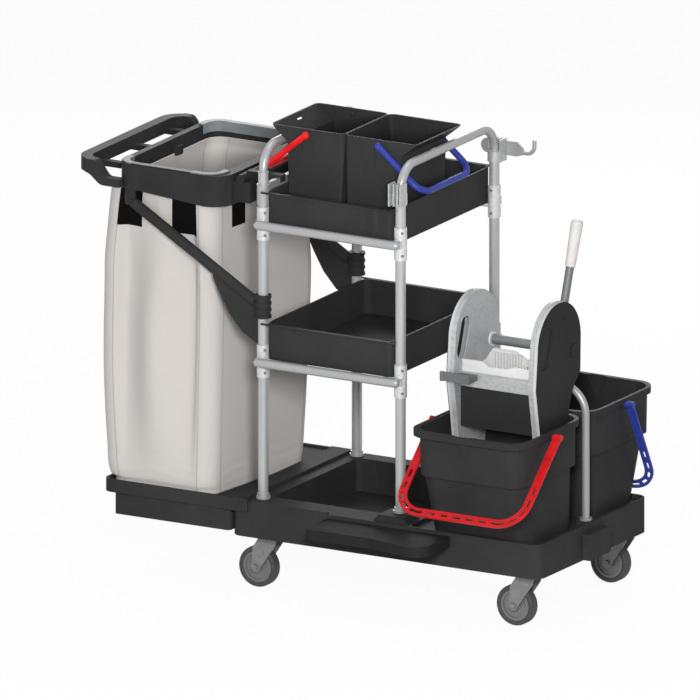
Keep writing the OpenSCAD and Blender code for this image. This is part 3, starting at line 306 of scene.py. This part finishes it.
dress(cast_metal("cast_sleeve", (0.52, 0.525, 0.53), 0.44, 0.25, 500.0, 0.00016), "rail_sleeves")
dress(cast_metal("clip_plate", (0.40, 0.405, 0.405), 0.42, 0.30, 420.0, 0.00008),
      "tool_clips", "wringer_crossbar")
corners = ("fl", "fr", "bl", "br")
dress(cast_metal("zinc_plate", (0.17, 0.171, 0.173), 0.44, 0.25, 260.0, 0.00005),
      "caster_plates", *("caster_fork_" + c for c in corners), "sleeve_screws")
dress(cast_metal("plate_paint", (0.36, 0.365, 0.37), 0.44, 0.10, 380.0, 0.00010), "wringer_plates")

# %% [markdown]
# ## Wheels
#
# A caster wheel is a grey moulded hub with a dark rubber tyre. The tread has fine ribs that run round the
# wheel. All four axles lie along Y, so a sine of Y draws these ribs on every tread, and leaves the flat
# sides smooth.

# %% Hub and tyre
def wheel_grey():
    finish = Finish("hub_plastic", (0.125, 0.126, 0.128), 0.50)
    cloud, grain = finish.noise(30.0, 4.0), finish.noise(800.0, 2.0)
    finish.feed(Base_Color=finish.blend(cloud, shade(finish.colour, 0.82), shade(finish.colour, 1.18)),
                Roughness=0.40 + 0.16 * cloud)
    finish.bump(grain, 0.00012)
    return finish.material


def tyre_rubber():
    finish = Finish("tyre_rubber", (0.030, 0.030, 0.032), 0.72)
    ribs = (finish.axis("Y") * (2 * math.pi / 0.0032)).sine() * 0.5 + 0.5
    dust = finish.noise(60.0, 6.0).band(0.45, 0.75)
    finish.feed(Base_Color=finish.blend(dust * 0.5, finish.colour, (0.085, 0.082, 0.078)),
                Roughness=0.66 + 0.16 * dust)
    finish.bump(ribs + 0.3 * finish.noise(900.0, 2.0), 0.0004)
    return finish.material


dress(wheel_grey(), *("caster_hub_" + c for c in corners))
dress(tyre_rubber(), *("caster_tyre_" + c for c in corners))

# %% [markdown]
# ## Coloured and white plastics
#
# The bails tell clean water from dirty: red and blue. They and the white press parts are glossier than
# the black mouldings. A thin cloudiness in the colour, faint flow lines and a slightly uneven gloss keep
# them from looking like paint chips.

# %% Red, blue, slate and white
def bright_plastic(name, colour, roughness, dark=0.86, light=1.10, grain=600.0):
    finish = Finish(name, colour, roughness, **{"Specular IOR Level": 0.22})
    flow = finish.noise(14.0, 4.0, (1.0, 1.0, 2.6))
    scuff = finish.noise(90.0, 4.0, (0.25, 1.0, 1.0)).band(0.62, 0.80)
    tint = finish.blend(flow.band(0.3, 0.7), shade(colour, dark), shade(colour, light))
    finish.feed(Base_Color=finish.blend(scuff * 0.08, tint, (0.7, 0.7, 0.7)),
                Roughness=roughness + 0.10 * flow + 0.12 * scuff)
    finish.bump(finish.noise(grain, 2.0), 0.00008)
    return finish.material


dress(bright_plastic("red_pail_bail", (0.62, 0.009, 0.012), 0.38), "pail_bail_red")
dress(bright_plastic("red_bucket_bail", (0.46, 0.007, 0.010), 0.40), "bail_front")
dress(bright_plastic("blue_bail", (0.023, 0.038, 0.245), 0.40), "pail_bail_blue", "bail_back")
dress(bright_plastic("slate_band", (0.205, 0.228, 0.243), 0.42), "bag_clamp_back")
dress(bright_plastic("slate_ledge", (0.108, 0.112, 0.116), 0.48), "mop_ledge")
dress(bright_plastic("white_press", (0.60, 0.60, 0.595), 0.38, 0.95, 1.03),
      "basket_plate", "press_plate", "shaft_bushes")
dress(bright_plastic("white_grip", (0.56, 0.535, 0.52), 0.46, 0.95, 1.03, 380.0), "lever_grip")

# %% [markdown]
# The band at the front of the ring is the same slate part as the back band, but it is painted darker:
# a dimmer slate at its two ends and black between them. This is painted shade.
# One smooth step at each end along X gives both tones.

# %% Front band
def front_band_painted_shade(name, slate, black, left_end, right_end):
    finish = Finish(name, slate, 0.46, **{"Specular IOR Level": 0.2})
    x, cloud = finish.axis("X"), finish.noise(20.0, 3.0)
    # painted shade: the part of the front band between its two ends is made black
    middle = x.band(left_end, left_end + 0.004) * x.band(right_end + 0.004, right_end)
    pale = finish.blend(cloud, shade(slate, 0.90), shade(slate, 1.10))
    finish.feed(Base_Color=finish.blend(middle, pale, black), Roughness=0.42 + 0.10 * cloud)
    finish.bump(finish.noise(700.0, 2.0), 0.00010)
    return finish.material


# painted shade: this slate is darker than the back band's, and the band's middle is black
dress(front_band_painted_shade("front_band_painted_shade", (0.135, 0.148, 0.158), (0.027, 0.027, 0.028), -0.508, -0.345),
      "bag_clamp_front")

# %% [markdown]
# ## Surfaces from whole arrays
#
# A new piece is a grid of points: rows along one parameter, columns along the other. The quads follow
# from the counts alone, so no loop runs over the vertices. Sizes are easier to read in millimetres from
# the foot of the front left post, so one function turns them into metres in the cart's own frame.

# %% Mesh helpers
cart_middle = (145.5, 178.0)


def at(x, y, z):
    """Drawing millimetres, from the front left post, as metres in the frame of the cart."""
    x, y, z = (np.asarray(values, float) for values in (x, y, z))
    return np.stack(np.broadcast_arrays(x - cart_middle[0], y - cart_middle[1], z), axis=-1) / 1000


def quads(rows, columns, wrap_rows=False, wrap_columns=False):
    """Corner numbers of the quads between the points of a grid; a wrapped side meets its own start."""
    down, across = np.arange(rows - (not wrap_rows)), np.arange(columns - (not wrap_columns))
    i, j = np.meshgrid(down, across, indexing="ij")
    k, m = (i + 1) % rows, (j + 1) % columns
    corner_numbers = [i * columns + j, i * columns + m, k * columns + m, k * columns + j]
    return np.stack(corner_numbers, axis=-1).reshape(-1, 4)


def piece(name, points, faces, material, body, slot, smooth=True):
    """A mesh object at the origin that rides on a body."""
    mesh = bpy.data.meshes.new(name)
    mesh.from_pydata(np.asarray(points).reshape(-1, 3).tolist(), [], [list(map(int, f)) for f in faces])
    mesh.polygons.foreach_set("use_smooth", np.full(len(mesh.polygons), smooth))
    mesh.materials.append(material)
    mesh.validate()
    made = bpy.data.objects.new(name, mesh)
    bpy.context.scene.collection.objects.link(made)
    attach(made, body)
    print(name, len(mesh.vertices), "points")
    return made


def smooth_rows(known, heights):
    """Cubic curves through the known rows without overshoot.
    The slope at a row is a weighted harmonic mean of the slopes beside it."""
    z, y = known[:, 0], known[:, 1:]
    step = np.diff(z)[:, None]
    rise = np.diff(y, axis=0) / step
    a, b = 2 * step[1:] + step[:-1], step[1:] + 2 * step[:-1]
    same = rise[1:] * rise[:-1] > 0
    safe = np.where(same, rise[:-1], 1.0), np.where(same, rise[1:], 1.0)
    slope = np.vstack([rise[:1], np.where(same, (a + b) / (a / safe[0] + b / safe[1]), 0.0), rise[-1:]])
    i = np.clip(np.searchsorted(z, heights) - 1, 0, len(z) - 2)
    t = ((heights - z[i]) / np.diff(z)[i])[:, None]
    h = np.diff(z)[i][:, None]
    return ((1 + 2 * t) * (1 - t) ** 2 * y[i] + t * (1 - t) ** 2 * h * slope[i]
            + t ** 2 * (3 - 2 * t) * y[i + 1] + t ** 2 * (t - 1) * h * slope[i + 1])

# %% [markdown]
# ## The cloth bag
#
# The bag is sewn from four panels with rounded corner strips. It hangs from the ring, bulges over its
# middle and stands on the platform. Five flat plates would look like a box, and a simulation would have
# to guess the sewing. A loft does it directly: each height has a rounded rectangle, smooth curves join
# the heights, and soft folds are added along the surface normal. Folds go inwards near the struts, so
# that the cloth never reaches them.

# %% The bag as a function of place on the seam line and height
bag_known = np.array([
    # height, left, right at the back, front, back, right at the front
    [215.2, -398, -81, -41, 355, -117], [227.0, -398, -81, -41, 355, -117],
    [234.0, -411, -80, -43, 357, -117], [300.0, -425, -84, -35, 375, -120],
    [500.0, -447, -90, -15, 405, -127], [720.0, -462, -97, 16, 428, -143],
    [830.0, -453, -112, 16, 428, -145], [914.0, -443, -112, 16, 428, -145],
    [929.0, -440, -112, 16, 428, -145], [931.0, -397, -114, 16, 428, -143],
    [944.0, -385, -138, 10, 435, -138], [958.0, -385, -138, 10, 435, -138]])
corner_round, fold_depth = 42.0, 22.0
bag_foot, bag_neck, strut_height = 232, 905, 690


def bag_points(corner, along, angle, height, lift=0.0, known=bag_known, folds=1.0):
    """Points of the bag. corner and along say between which two corners a point lies, angle is its outward
    direction, and height is in millimetres. The point is the corner's centre plus the corner radius,
    pushed out or in by the folds."""
    left, right, front, back, near = smooth_rows(known, height).T[:, :, None]
    r = np.minimum(corner_round, 0.45 * np.minimum(right - left, back - front))
    across = np.stack(np.broadcast_arrays(right - r, left + r, left + r, near - r))
    deep = np.stack(np.broadcast_arrays(back - r, back - r, front + r, front + r))
    following = (corner + 1) % 4
    x = (1 - along) * across[corner, :, 0].T + along * across[following, :, 0].T
    y = (1 - along) * deep[corner, :, 0].T + along * deep[following, :, 0].T
    z = height[:, None]
    level = np.clip((z - bag_foot) / (bag_neck - bag_foot), 0, 1)
    swell = np.sin(np.pi * level) ** 1.1
    ends = np.clip(along / 0.12, 0, 1) * np.clip((1 - along) / 0.10, 0, 1)
    ends = ends * ends * (3 - 2 * ends)
    by_strut = 1 / (1 + np.exp((strut_height - z) / 22))
    front_wave = fold_depth * swell * ends * (-np.cos(2 * np.pi * (along - 0.12) / 0.77) - 1.15 * by_strut)
    belly = swell ** 0.64 * np.sin(np.pi * along) ** 0.8
    fold = 0.5 + 0.5 * np.cos(2 * np.pi * (1.5 * along + 0.11 * corner) + 0.9 * np.sin(3 * level + corner))
    side_wave = belly * np.where(corner == 3, -0.6 * fold, -6.5 * fold - 1.0)
    gather = (0.5 - 0.5 * np.cos(2 * np.pi * 6 * along)) * np.exp(-np.abs(z - bag_neck) / 46) \
        * np.clip((927 - z) / 16, 0, 1)
    slump = (0.5 + 0.5 * np.cos(2 * np.pi * (z - 240) / 26 + 2.4 * np.sin(2 * np.pi * along + corner))) \
        * np.exp(-np.abs(z - 262) / 34) * (along > 0) * (z > 236)
    push = folds * (np.where(corner == 2, front_wave, side_wave) - 1.2 * gather - 0.8 * slump) + lift
    return at(x + (r + push) * np.cos(angle), y + (r + push) * np.sin(angle), z + 0 * x)


steps_flat, steps_round = 40, 9
corner = np.repeat(np.arange(4), steps_round + steps_flat - 2)
along = np.tile(np.concatenate([np.zeros(steps_round - 1), np.linspace(0, 1, steps_flat)[:-1]]), 4)
quarter = np.concatenate([np.linspace(0, np.pi / 2, steps_round)[:-1], np.full(steps_flat - 1, np.pi / 2)])
angle = np.tile(quarter, 4) + corner * np.pi / 2
stretches = [(215.2, 240, 9), (240, 330, 28), (330, 840, 60), (840, 925, 32), (926, 933, 15), (934, 958, 10)]
heights = np.unique(np.concatenate([np.linspace(low, high, count) for low, high, count in stretches]))
wall = bag_points(corner, along, angle, heights)
print("bag wall", wall.shape)

# %% [markdown]
# The wall is a tube of cloth, so its floor is made by drawing the lowest ring in towards its middle. The
# cloth gets a map of its own in metres, so that the weave and the seams follow the surface whatever its
# shape.

# %% Bag mesh, seams and thickness
floor_share = np.linspace(1, 0, 9)[1:-1, None, None]
floor_rows = wall[0].mean(0) + (wall[0] - wall[0].mean(0)) * floor_share
bag_grid = np.concatenate([floor_rows[::-1], wall])
rows, columns = bag_grid.shape[:2]
bag_faces = quads(rows, columns, wrap_columns=True).tolist() + [list(range(columns))[::-1]]


def cloth(name, colour, weave, depth, mottle, sheen=0.12, gloss=0.25, seam_tone=0.62):
    """Woven cloth on a map in metres: two sets of threads, slubs, a soft mottle and darker stitched seams."""
    plain = {"Sheen Weight": sheen, "Sheen Roughness": 0.5, "Specular IOR Level": gloss}
    finish = Finish(name, colour, 0.82, **plain)
    sheet = finish.node("ShaderNodeUVMap", {"uv_map": "cloth"}, {})
    u = finish.node("ShaderNodeSeparateXYZ", {}, {0: sheet}, "X")
    v = finish.node("ShaderNodeSeparateXYZ", {}, {0: sheet}, "Y")
    warp, weft = (u * (2 * math.pi / weave)).sine(), (v * (2 * math.pi / weave)).sine()
    threads = 0.5 + 0.25 * warp + 0.25 * weft

    def uneven(sx, sy, detail):
        stretched = finish.node("ShaderNodeMapping", {}, {"Vector": sheet, "Scale": (sx, sy, 1.0)})
        return finish.node("ShaderNodeTexNoise", {}, {"Vector": stretched, "Scale": 1.0, "Detail": detail})

    slub = uneven(40.0, 900.0, 3.0) * 0.5 + uneven(900.0, 40.0, 3.0) * 0.5
    cloud = uneven(5.0, 2.2, 4.0)
    seam = finish.node("ShaderNodeAttribute", {"attribute_name": "seam"}, {}, "Fac")
    line = seam.band(0.0022, 0.0009)
    stitch = line * ((v * (2 * math.pi / 0.0075)).sine()).band(-0.3, 0.3)
    tone = finish.blend(0.55 * slub + 0.25 * threads + 0.2 * cloud,
                        shade(colour, 1 - mottle), shade(colour, 1 + mottle))
    finish.feed(Base_Color=finish.blend(0.6 * line + 0.25 * stitch, tone, shade(colour, seam_tone)),
                Roughness=0.76 + 0.14 * slub)
    finish.bump(0.5 * threads + 0.5 * slub - 0.8 * line + 0.6 * stitch, depth)
    return finish.material


def lay_cloth(made, u, v, seam):
    """Writes the cloth map, in metres, and the distance to the nearest seam."""
    mesh = made.data
    chart = mesh.uv_layers.new(name="cloth")
    which = np.zeros(len(mesh.loops), np.int32)
    mesh.loops.foreach_get("vertex_index", which)
    start, count = np.zeros(len(mesh.polygons), np.int32), np.zeros(len(mesh.polygons), np.int32)
    mesh.polygons.foreach_get("loop_start", start)
    mesh.polygons.foreach_get("loop_total", count)
    first = np.repeat(start, count)
    cu, base = u[which], u[which[first]]
    round_u = u.max() * (1 + 1 / len(np.unique(np.round(u, 6))))
    cu = np.where(base - cu > round_u / 2, cu + round_u, np.where(cu - base > round_u / 2, cu - round_u, cu))
    chart.data.foreach_set("uv", np.stack([cu, v[which]], axis=-1).astype(np.float32).ravel())
    layer = mesh.attributes.new("seam", "FLOAT", "POINT")
    layer.data.foreach_set("value", seam.astype(np.float32))


canvas = cloth("bag_canvas", (0.488, 0.464, 0.444), 0.0016, 0.00022, 0.07)
bag_shell = piece("bag_shell", bag_grid, bag_faces, canvas, "frame", "canvas")
middle = bag_grid[rows // 2]
run = np.linalg.norm(np.roll(middle, -1, axis=0) - middle, axis=1)
round_the_bag = np.concatenate([[0], np.cumsum(run)[:-1]])
climb = np.concatenate([[0], np.cumsum(np.linalg.norm(np.diff(bag_grid[:, 0], axis=0), axis=1))])
in_side = np.arange(columns) % (columns // 4)
seam_at = round_the_bag[(in_side == 0) | (in_side == steps_round - 1)]
girth = float(run.sum())
apart = np.abs(round_the_bag[:, None] - seam_at[None, :])
far_from_seams = 0.05
to_seam = np.minimum(np.minimum(apart, girth - apart).min(1), far_from_seams)
lay_cloth(bag_shell, np.tile(round_the_bag, rows), np.repeat(climb, columns), np.tile(to_seam, rows))
skin = bag_shell.modifiers.new("thickness", "SOLIDIFY")
skin.thickness, skin.offset = 0.0016, -1
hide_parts("bag")

# %% [markdown]
# The mouth is turned in over the rim of the bag, so a straight cuff hangs inside it. The same function
# draws it, from a table of its own and with most of the folding left out.

# %% Cuff inside the mouth
cuff_known = np.array([[800.0, -382, -143, 46, 408, -168], [900.0, -382, -142, 31, 417, -156],
                       [929.0, -383, -142, 22, 423, -152], [944.0, -383.2, -140.2, 12.2, 432.6, -140.2],
                       [957.0, -383.2, -140.2, 12.2, 432.6, -140.2]])
cuff_low, cuff_high, cuff_count = 800, 957, 40
cuff_rows = np.linspace(cuff_low, cuff_high, cuff_count)
cuff_grid = bag_points(corner, along, angle, cuff_rows, known=cuff_known, folds=0.2)
cuff = piece("bag_cuff", cuff_grid, quads(cuff_count, columns, wrap_columns=True), canvas, "frame", "canvas")
cuff_run = np.linalg.norm(np.roll(cuff_grid[-1], -1, axis=0) - cuff_grid[-1], axis=1)
lay_cloth(cuff, np.tile(round_the_bag * cuff_run.sum() / girth, cuff_count),
          np.repeat((cuff_rows - cuff_low) / 1000, columns), np.tile(to_seam, cuff_count))
lining = cuff.modifiers.new("thickness", "SOLIDIFY")
lining.thickness, lining.offset = 0.0012, -1

# %% [markdown]
# ## Hem and patches
#
# The mouth of the bag ends in a rolled hem, and black patches reinforce the cloth below the ring. The hem
# is a small circle carried round the mouth. A patch is the bag's own function again, on a small part of
# its range, lifted a little off the cloth, so that it follows the folds under it.

# %% Hem and patches
hem_steps, hem_radius, hem_inset = 12, 0.0021, 0.0022
hem_turn = np.linspace(0, 2 * np.pi, hem_steps, endpoint=False)
hem_out = np.stack([np.cos(angle), np.sin(angle), 0 * angle], axis=-1)
mouth = wall[-1] - hem_out * hem_inset
hem_grid = mouth[None] + hem_radius * (np.cos(hem_turn)[:, None, None] * hem_out[None]
                                       + np.sin(hem_turn)[:, None, None] * np.array([0, 0, 1.0]))
hem = piece("bag_hem", hem_grid, quads(hem_steps, columns, True, True), canvas, "frame", "canvas")
lay_cloth(hem, np.tile(round_the_bag, hem_steps), np.repeat(np.linspace(0, 0.013, hem_steps), columns),
          np.full(hem_steps * columns, far_from_seams))

patch_cloth = cloth("patch_cloth", (0.0030, 0.0030, 0.0031), 0.0012, 0.00012, 0.25, sheen=0.0, gloss=0.05)


def patch(name, side, start, end, low, high, rows=37, columns=33):
    """A piece of cloth on one side of the bag, from start to end along that side and from low to high."""
    along_patch = np.linspace(start, end, columns)
    z = np.linspace(low, high, rows)
    sides = np.full(columns, side)
    grid = bag_points(sides, along_patch, np.full(columns, (side + 1) * np.pi / 2), z, lift=1.3)
    made = piece(name, grid, quads(rows, columns), patch_cloth, "frame", "patch_cloth")
    width, tall = np.linalg.norm(grid[0, -1] - grid[0, 0]), np.linalg.norm(grid[-1, 0] - grid[0, 0])
    uu, vv = np.meshgrid(np.linspace(0, width, columns), np.linspace(0, tall, rows))
    edge = np.minimum(np.minimum(uu, width - uu), np.minimum(vv, tall - vv))
    lay_cloth(made, uu.ravel(), vv.ravel(), np.abs(edge - 0.004).ravel())
    back = made.modifiers.new("thickness", "SOLIDIFY")
    back.thickness, back.offset = 0.0009, -1
    return made


patches = [patch("bag_patch_left", 2, 0.005, 0.285, 834, 928),
           patch("bag_patch_middle", 2, 0.668, 0.970, 832, 928),
           patch("bag_patch_side", 3, 0.118, 0.280, 844, 926)]
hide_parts("bag_patches")
print("patches", [p.name for p in patches])

# %% [markdown]
# ## Moulded ribs
#
# The push handle is a channel that is stiffened by short ribs in its two corners, and the small buckets
# have ribs below their pivots. A rib is a thin block with rounded edges. All ribs of a group are one
# mesh: the eight corners of a unit block are scaled and moved by arrays of sizes and places, and a Bevel
# modifier rounds the edges.

# %% Ribs
def blocks(centres, sizes, turns):
    """Corner points and faces of many blocks: unit corners times sizes, turned about Z, plus centres."""
    unit = np.stack(np.meshgrid([-0.5, 0.5], [-0.5, 0.5], [-0.5, 0.5], indexing="ij"), axis=-1).reshape(8, 3)
    local = unit[None] * np.asarray(sizes)[:, None, :]
    c, s = np.cos(turns)[:, None], np.sin(turns)[:, None]
    x, y, z = local[..., 0], local[..., 1], local[..., 2]
    spun = np.stack([x * c - y * s, x * s + y * c, z], axis=-1)
    face = np.array([[0, 1, 3, 2], [4, 6, 7, 5], [0, 4, 5, 1], [2, 3, 7, 6], [0, 2, 6, 4], [1, 5, 7, 3]])
    points = spun + np.asarray(centres)[:, None, :]
    return points.reshape(-1, 3), (face[None] + 8 * np.arange(len(points))[:, None, None]).reshape(-1, 4)


def ribs(name, centres, sizes, turns, material, body, slot, rounding):
    """One mesh of rounded ribs; sizes in metres."""
    centres = np.asarray(centres)
    shape = blocks(centres, np.broadcast_to(sizes, centres.shape), np.broadcast_to(turns, len(centres)))
    made = piece(name, *shape, material, body, slot, smooth=False)
    edge = made.modifiers.new("rounded", "BEVEL")
    edge.width, edge.segments = rounding, 2
    return made


bend = np.radians(np.linspace(2, 88, 8))
bend_x, bend_front, bend_back, bend_reach, rib_height = -450, 40, 401, 35.2, 978.5
bend_across, bend_along = bend_x - bend_reach * np.cos(bend), bend_reach * np.sin(bend)
grip_bends = np.concatenate([at(bend_across, bend_front - bend_along, rib_height),
                             at(bend_across, bend_back + bend_along, rib_height)])
ribs("handle_ribs", grip_bends, (0.0036, 0.0030, 0.029), np.concatenate([bend, -bend]), black_ring,
     "frame", "black_plastic", 0.0008)
pivot_sides = np.array([[x, y] for x in (62, 92, 260, 290) for y in (78.4, 299.6)])
ribs("pail_ribs", at(pivot_sides[:, 0], pivot_sides[:, 1], 1077.0), (0.0030, 0.0022, 0.040), 0.0, black_tray,
     "frame", "black_plastic", 0.0006)
ribs("ring_tab", at([-380.0], [255.0], [966.0]), (0.016, 0.028, 0.024), 0.0, black_ring,
     "frame", "black_plastic", 0.003)

# %% [markdown]
# ## Rivets and caps
#
# Small heads tell the eye how big a thing is. The wringer's sides have rivets, and hollow caps cover the
# ends of the pins in the small buckets. Both are a profile turned round an axis: radius against height,
# carried through a full turn. One function places a head at each given spot, and the points that meet at
# a pole are joined.

# %% Turned heads
def closed(made):
    """Joins points that fall together, as at a pole."""
    made.modifiers.new("joined", "WELD").merge_threshold = 0.00001
    return made


def turned(name, profile, spots, axis, material, body, slot, around=24):
    """A profile of radius and height, in millimetres, turned round an axis at each spot; one mesh in all."""
    turn_step = np.linspace(0, 2 * np.pi, around, endpoint=False)
    radius, height = np.asarray(profile, float).T
    axis = np.asarray(axis, float)
    side = np.cross(axis, [0.0, 0.0, 1.0] if abs(axis[2]) < 0.9 else [1.0, 0.0, 0.0])
    side /= np.linalg.norm(side)
    other = np.cross(axis, side)
    outward = np.cos(turn_step)[None, :, None] * side + np.sin(turn_step)[None, :, None] * other
    one = (radius[:, None, None] * outward + height[:, None, None] * axis) / 1000
    spots = np.asarray(spots, float)
    points = one[None] + spots[:, None, None, :]
    face = quads(len(radius), around, wrap_columns=True)[:, ::-1]
    faces = (face[None] + one[..., 0].size * np.arange(len(spots))[:, None, None]).reshape(-1, 4)
    return closed(piece(name, points, faces, material, body, slot))


rivet = [(0.0, 1.6), (1.6, 1.5), (3.0, 1.0), (3.8, 0.2), (4.0, -0.6), (0.0, -0.6)]
cover_spots = at(np.repeat([744.5, 492.5], 3), np.tile([64.0, 152.0, 96.0], 2),
                 np.tile([735.0, 726.0, 430.0], 2))
turned("cover_rivets_right", rivet, cover_spots[:3], (1, 0, 0), black_cover, "wringer", "black_plastic")
turned("cover_rivets_left", rivet, cover_spots[3:], (-1, 0, 0), black_cover, "wringer", "black_plastic")

pivot_cap = [(0.0, 3.9), (4.2, 3.7), (5.5, 2.8), (6.2, 1.0), (6.3, -0.3),
             (4.4, -0.3), (4.2, 2.4), (3.6, 3.0), (0.0, 3.1)]
pivot_x, pivot_z = [76.0, 276.0], 1106.2
pivots_front, pivots_back = at(pivot_x, 81.5, pivot_z), at(pivot_x, 296.5, pivot_z)
turned("pivot_caps_front", pivot_cap, pivots_front, (0, 1, 0), black_tray, "frame", "black_plastic")
turned("pivot_caps_back", pivot_cap, pivots_back, (0, -1, 0), black_tray, "frame", "black_plastic")

# %% [markdown]
# The hand slot in each side of the wringer is closed from inside by a thin black plate, so the slot reads
# dark. Its outline is a stadium: two half circles joined by straight lines, drawn in towards its middle
# line.

# %% Slot plates
def slot_plates(name, middle, tilt, long, wide, planes, thickness):
    """Stadium plates in planes across X: turn_step gives a half circle at each end, and share draws it in
    to the middle line."""
    around, inwards = 48, 6
    turn_step = np.linspace(0, 2 * np.pi, around, endpoint=False)
    share = np.linspace(0.0, 1.0, inwards)[:, None]
    end = np.where(np.abs(turn_step - np.pi) < np.pi / 2, -1.0, 1.0) * (long - wide) / 2
    a, b = end + share * wide / 2 * np.cos(turn_step), share * wide / 2 * np.sin(turn_step)
    y = middle[0] + a * np.cos(tilt) - b * np.sin(tilt)
    z = middle[1] + a * np.sin(tilt) + b * np.cos(tilt)
    grids = np.stack([at(x + 0 * y, y, z) for x in planes])
    face = quads(inwards, around, wrap_columns=True)
    faces = (face[None] + y.size * np.arange(len(planes))[:, None, None]).reshape(-1, 4)
    made = closed(piece(name, grids, faces, black_cover, "wringer", "black_plastic", smooth=False))
    wall = made.modifiers.new("thickness", "SOLIDIFY")
    wall.thickness, wall.offset = thickness, 0
    return made


wringer_x, slot_plane = 618.5, 119.0
slot_plates("slot_plates", (59.5, 670.0), slot_tilt, 108.0, 48.0,
            (wringer_x - slot_plane, wringer_x + slot_plane), 0.001)

# %% [markdown]
# ## Floor, backdrop and light
#
# The photograph is a product shot on white. The floor is pale, and a ray from the camera sees it almost
# as pure white, while it still takes a faint shadow from the cart. The same white is given to glossy
# rays, so that the tubes reflect it. A large soft lamp near the camera lights the front. Weaker ones open
# up the left, the back and, from above, the insides.

# %% Floor and world
def white_ray(finish):
    """1 for rays that the camera sees directly, mirrored or through something clear, and 0 for others."""
    kinds = ("Is Camera Ray", "Is Glossy Ray", "Is Transmission Ray")
    seen, mirrored, through = (finish.node("ShaderNodeLightPath", {}, {}, kind) for kind in kinds)
    every = seen + mirrored + through
    return every.math("MINIMUM", every, 1.0)


class Surroundings(Finish):
    """The world round the cart, with the same way to add nodes as a finish."""

    def __init__(self, name):
        self.world = bpy.data.worlds.new(name)
        self.world.use_nodes = True
        self.tree = self.world.node_tree
        self.shader = self.tree.nodes["Background"]
        self.shader.inputs["Color"].default_value = (1, 1, 1, 1)


soft_level = 0.34
studio = Surroundings("studio")
studio.feed(Strength=soft_level + (1 - soft_level) * white_ray(studio))
bpy.context.scene.world = studio.world

ground = Finish("floor_white", (0.80, 0.80, 0.80), 0.9)
glow = ground.node("ShaderNodeEmission", {}, {"Color": (1, 1, 1, 1), "Strength": 1.0})
lit = Wire(ground, ground.shader.outputs[0])
mixed = ground.node("ShaderNodeMixShader", {}, {0: white_ray(ground) * 0.95, 1: lit, 2: glow})
ground.tree.links.new(mixed.socket, ground.tree.nodes["Material Output"].inputs["Surface"])
floor_half, floor_drop = 9.0, 0.0005
floor_edge = np.array([[-1, -1, 0], [1, -1, 0], [1, 1, 0], [-1, 1, 0]]) * floor_half - [0, 0, floor_drop]
floor_mesh = bpy.data.meshes.new("floor")
floor_mesh.from_pydata(floor_edge.tolist(), [], [[0, 1, 2, 3]])
floor_mesh.materials.append(ground.material)
floor = bpy.data.objects.new("floor", floor_mesh)
bpy.context.scene.collection.objects.link(floor)
floor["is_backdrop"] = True


def lamp(name, place, power, size):
    """A square soft lamp that looks at the middle of the cart."""
    data = bpy.data.lights.new(name, "AREA")
    data.energy, data.size = power, size
    made = bpy.data.objects.new(name, data)
    made.location = place
    made.rotation_euler = (aim - Vector(place)).to_track_quat("-Z", "Y").to_euler()
    bpy.context.scene.collection.objects.link(made)


lamp("key", aim + towards * 5 + Vector((0.2, 0.1, 0.35)), 235, 1.0)
lamp("left", (-3.2, -1.6, 1.8), 16, 1.8)
lamp("back", (-1.6, 3.4, 2.0), 60, 2.2)
lamp("top", (0.1, 0.2, 3.6), 20, 1.4)

# %% [markdown]
# ## Last look at the size
#
# Cloth may stand a little proud of the solids, and nothing else should. How far the top corner of the box
# grew is printed.

# %% Print how much the box grew
drawn_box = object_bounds()
growth = [round((b - a) * 1000, 2) for a, b in zip(cad_box[1], drawn_box[1])]
print("grown by", growth, "mm at the top corner")
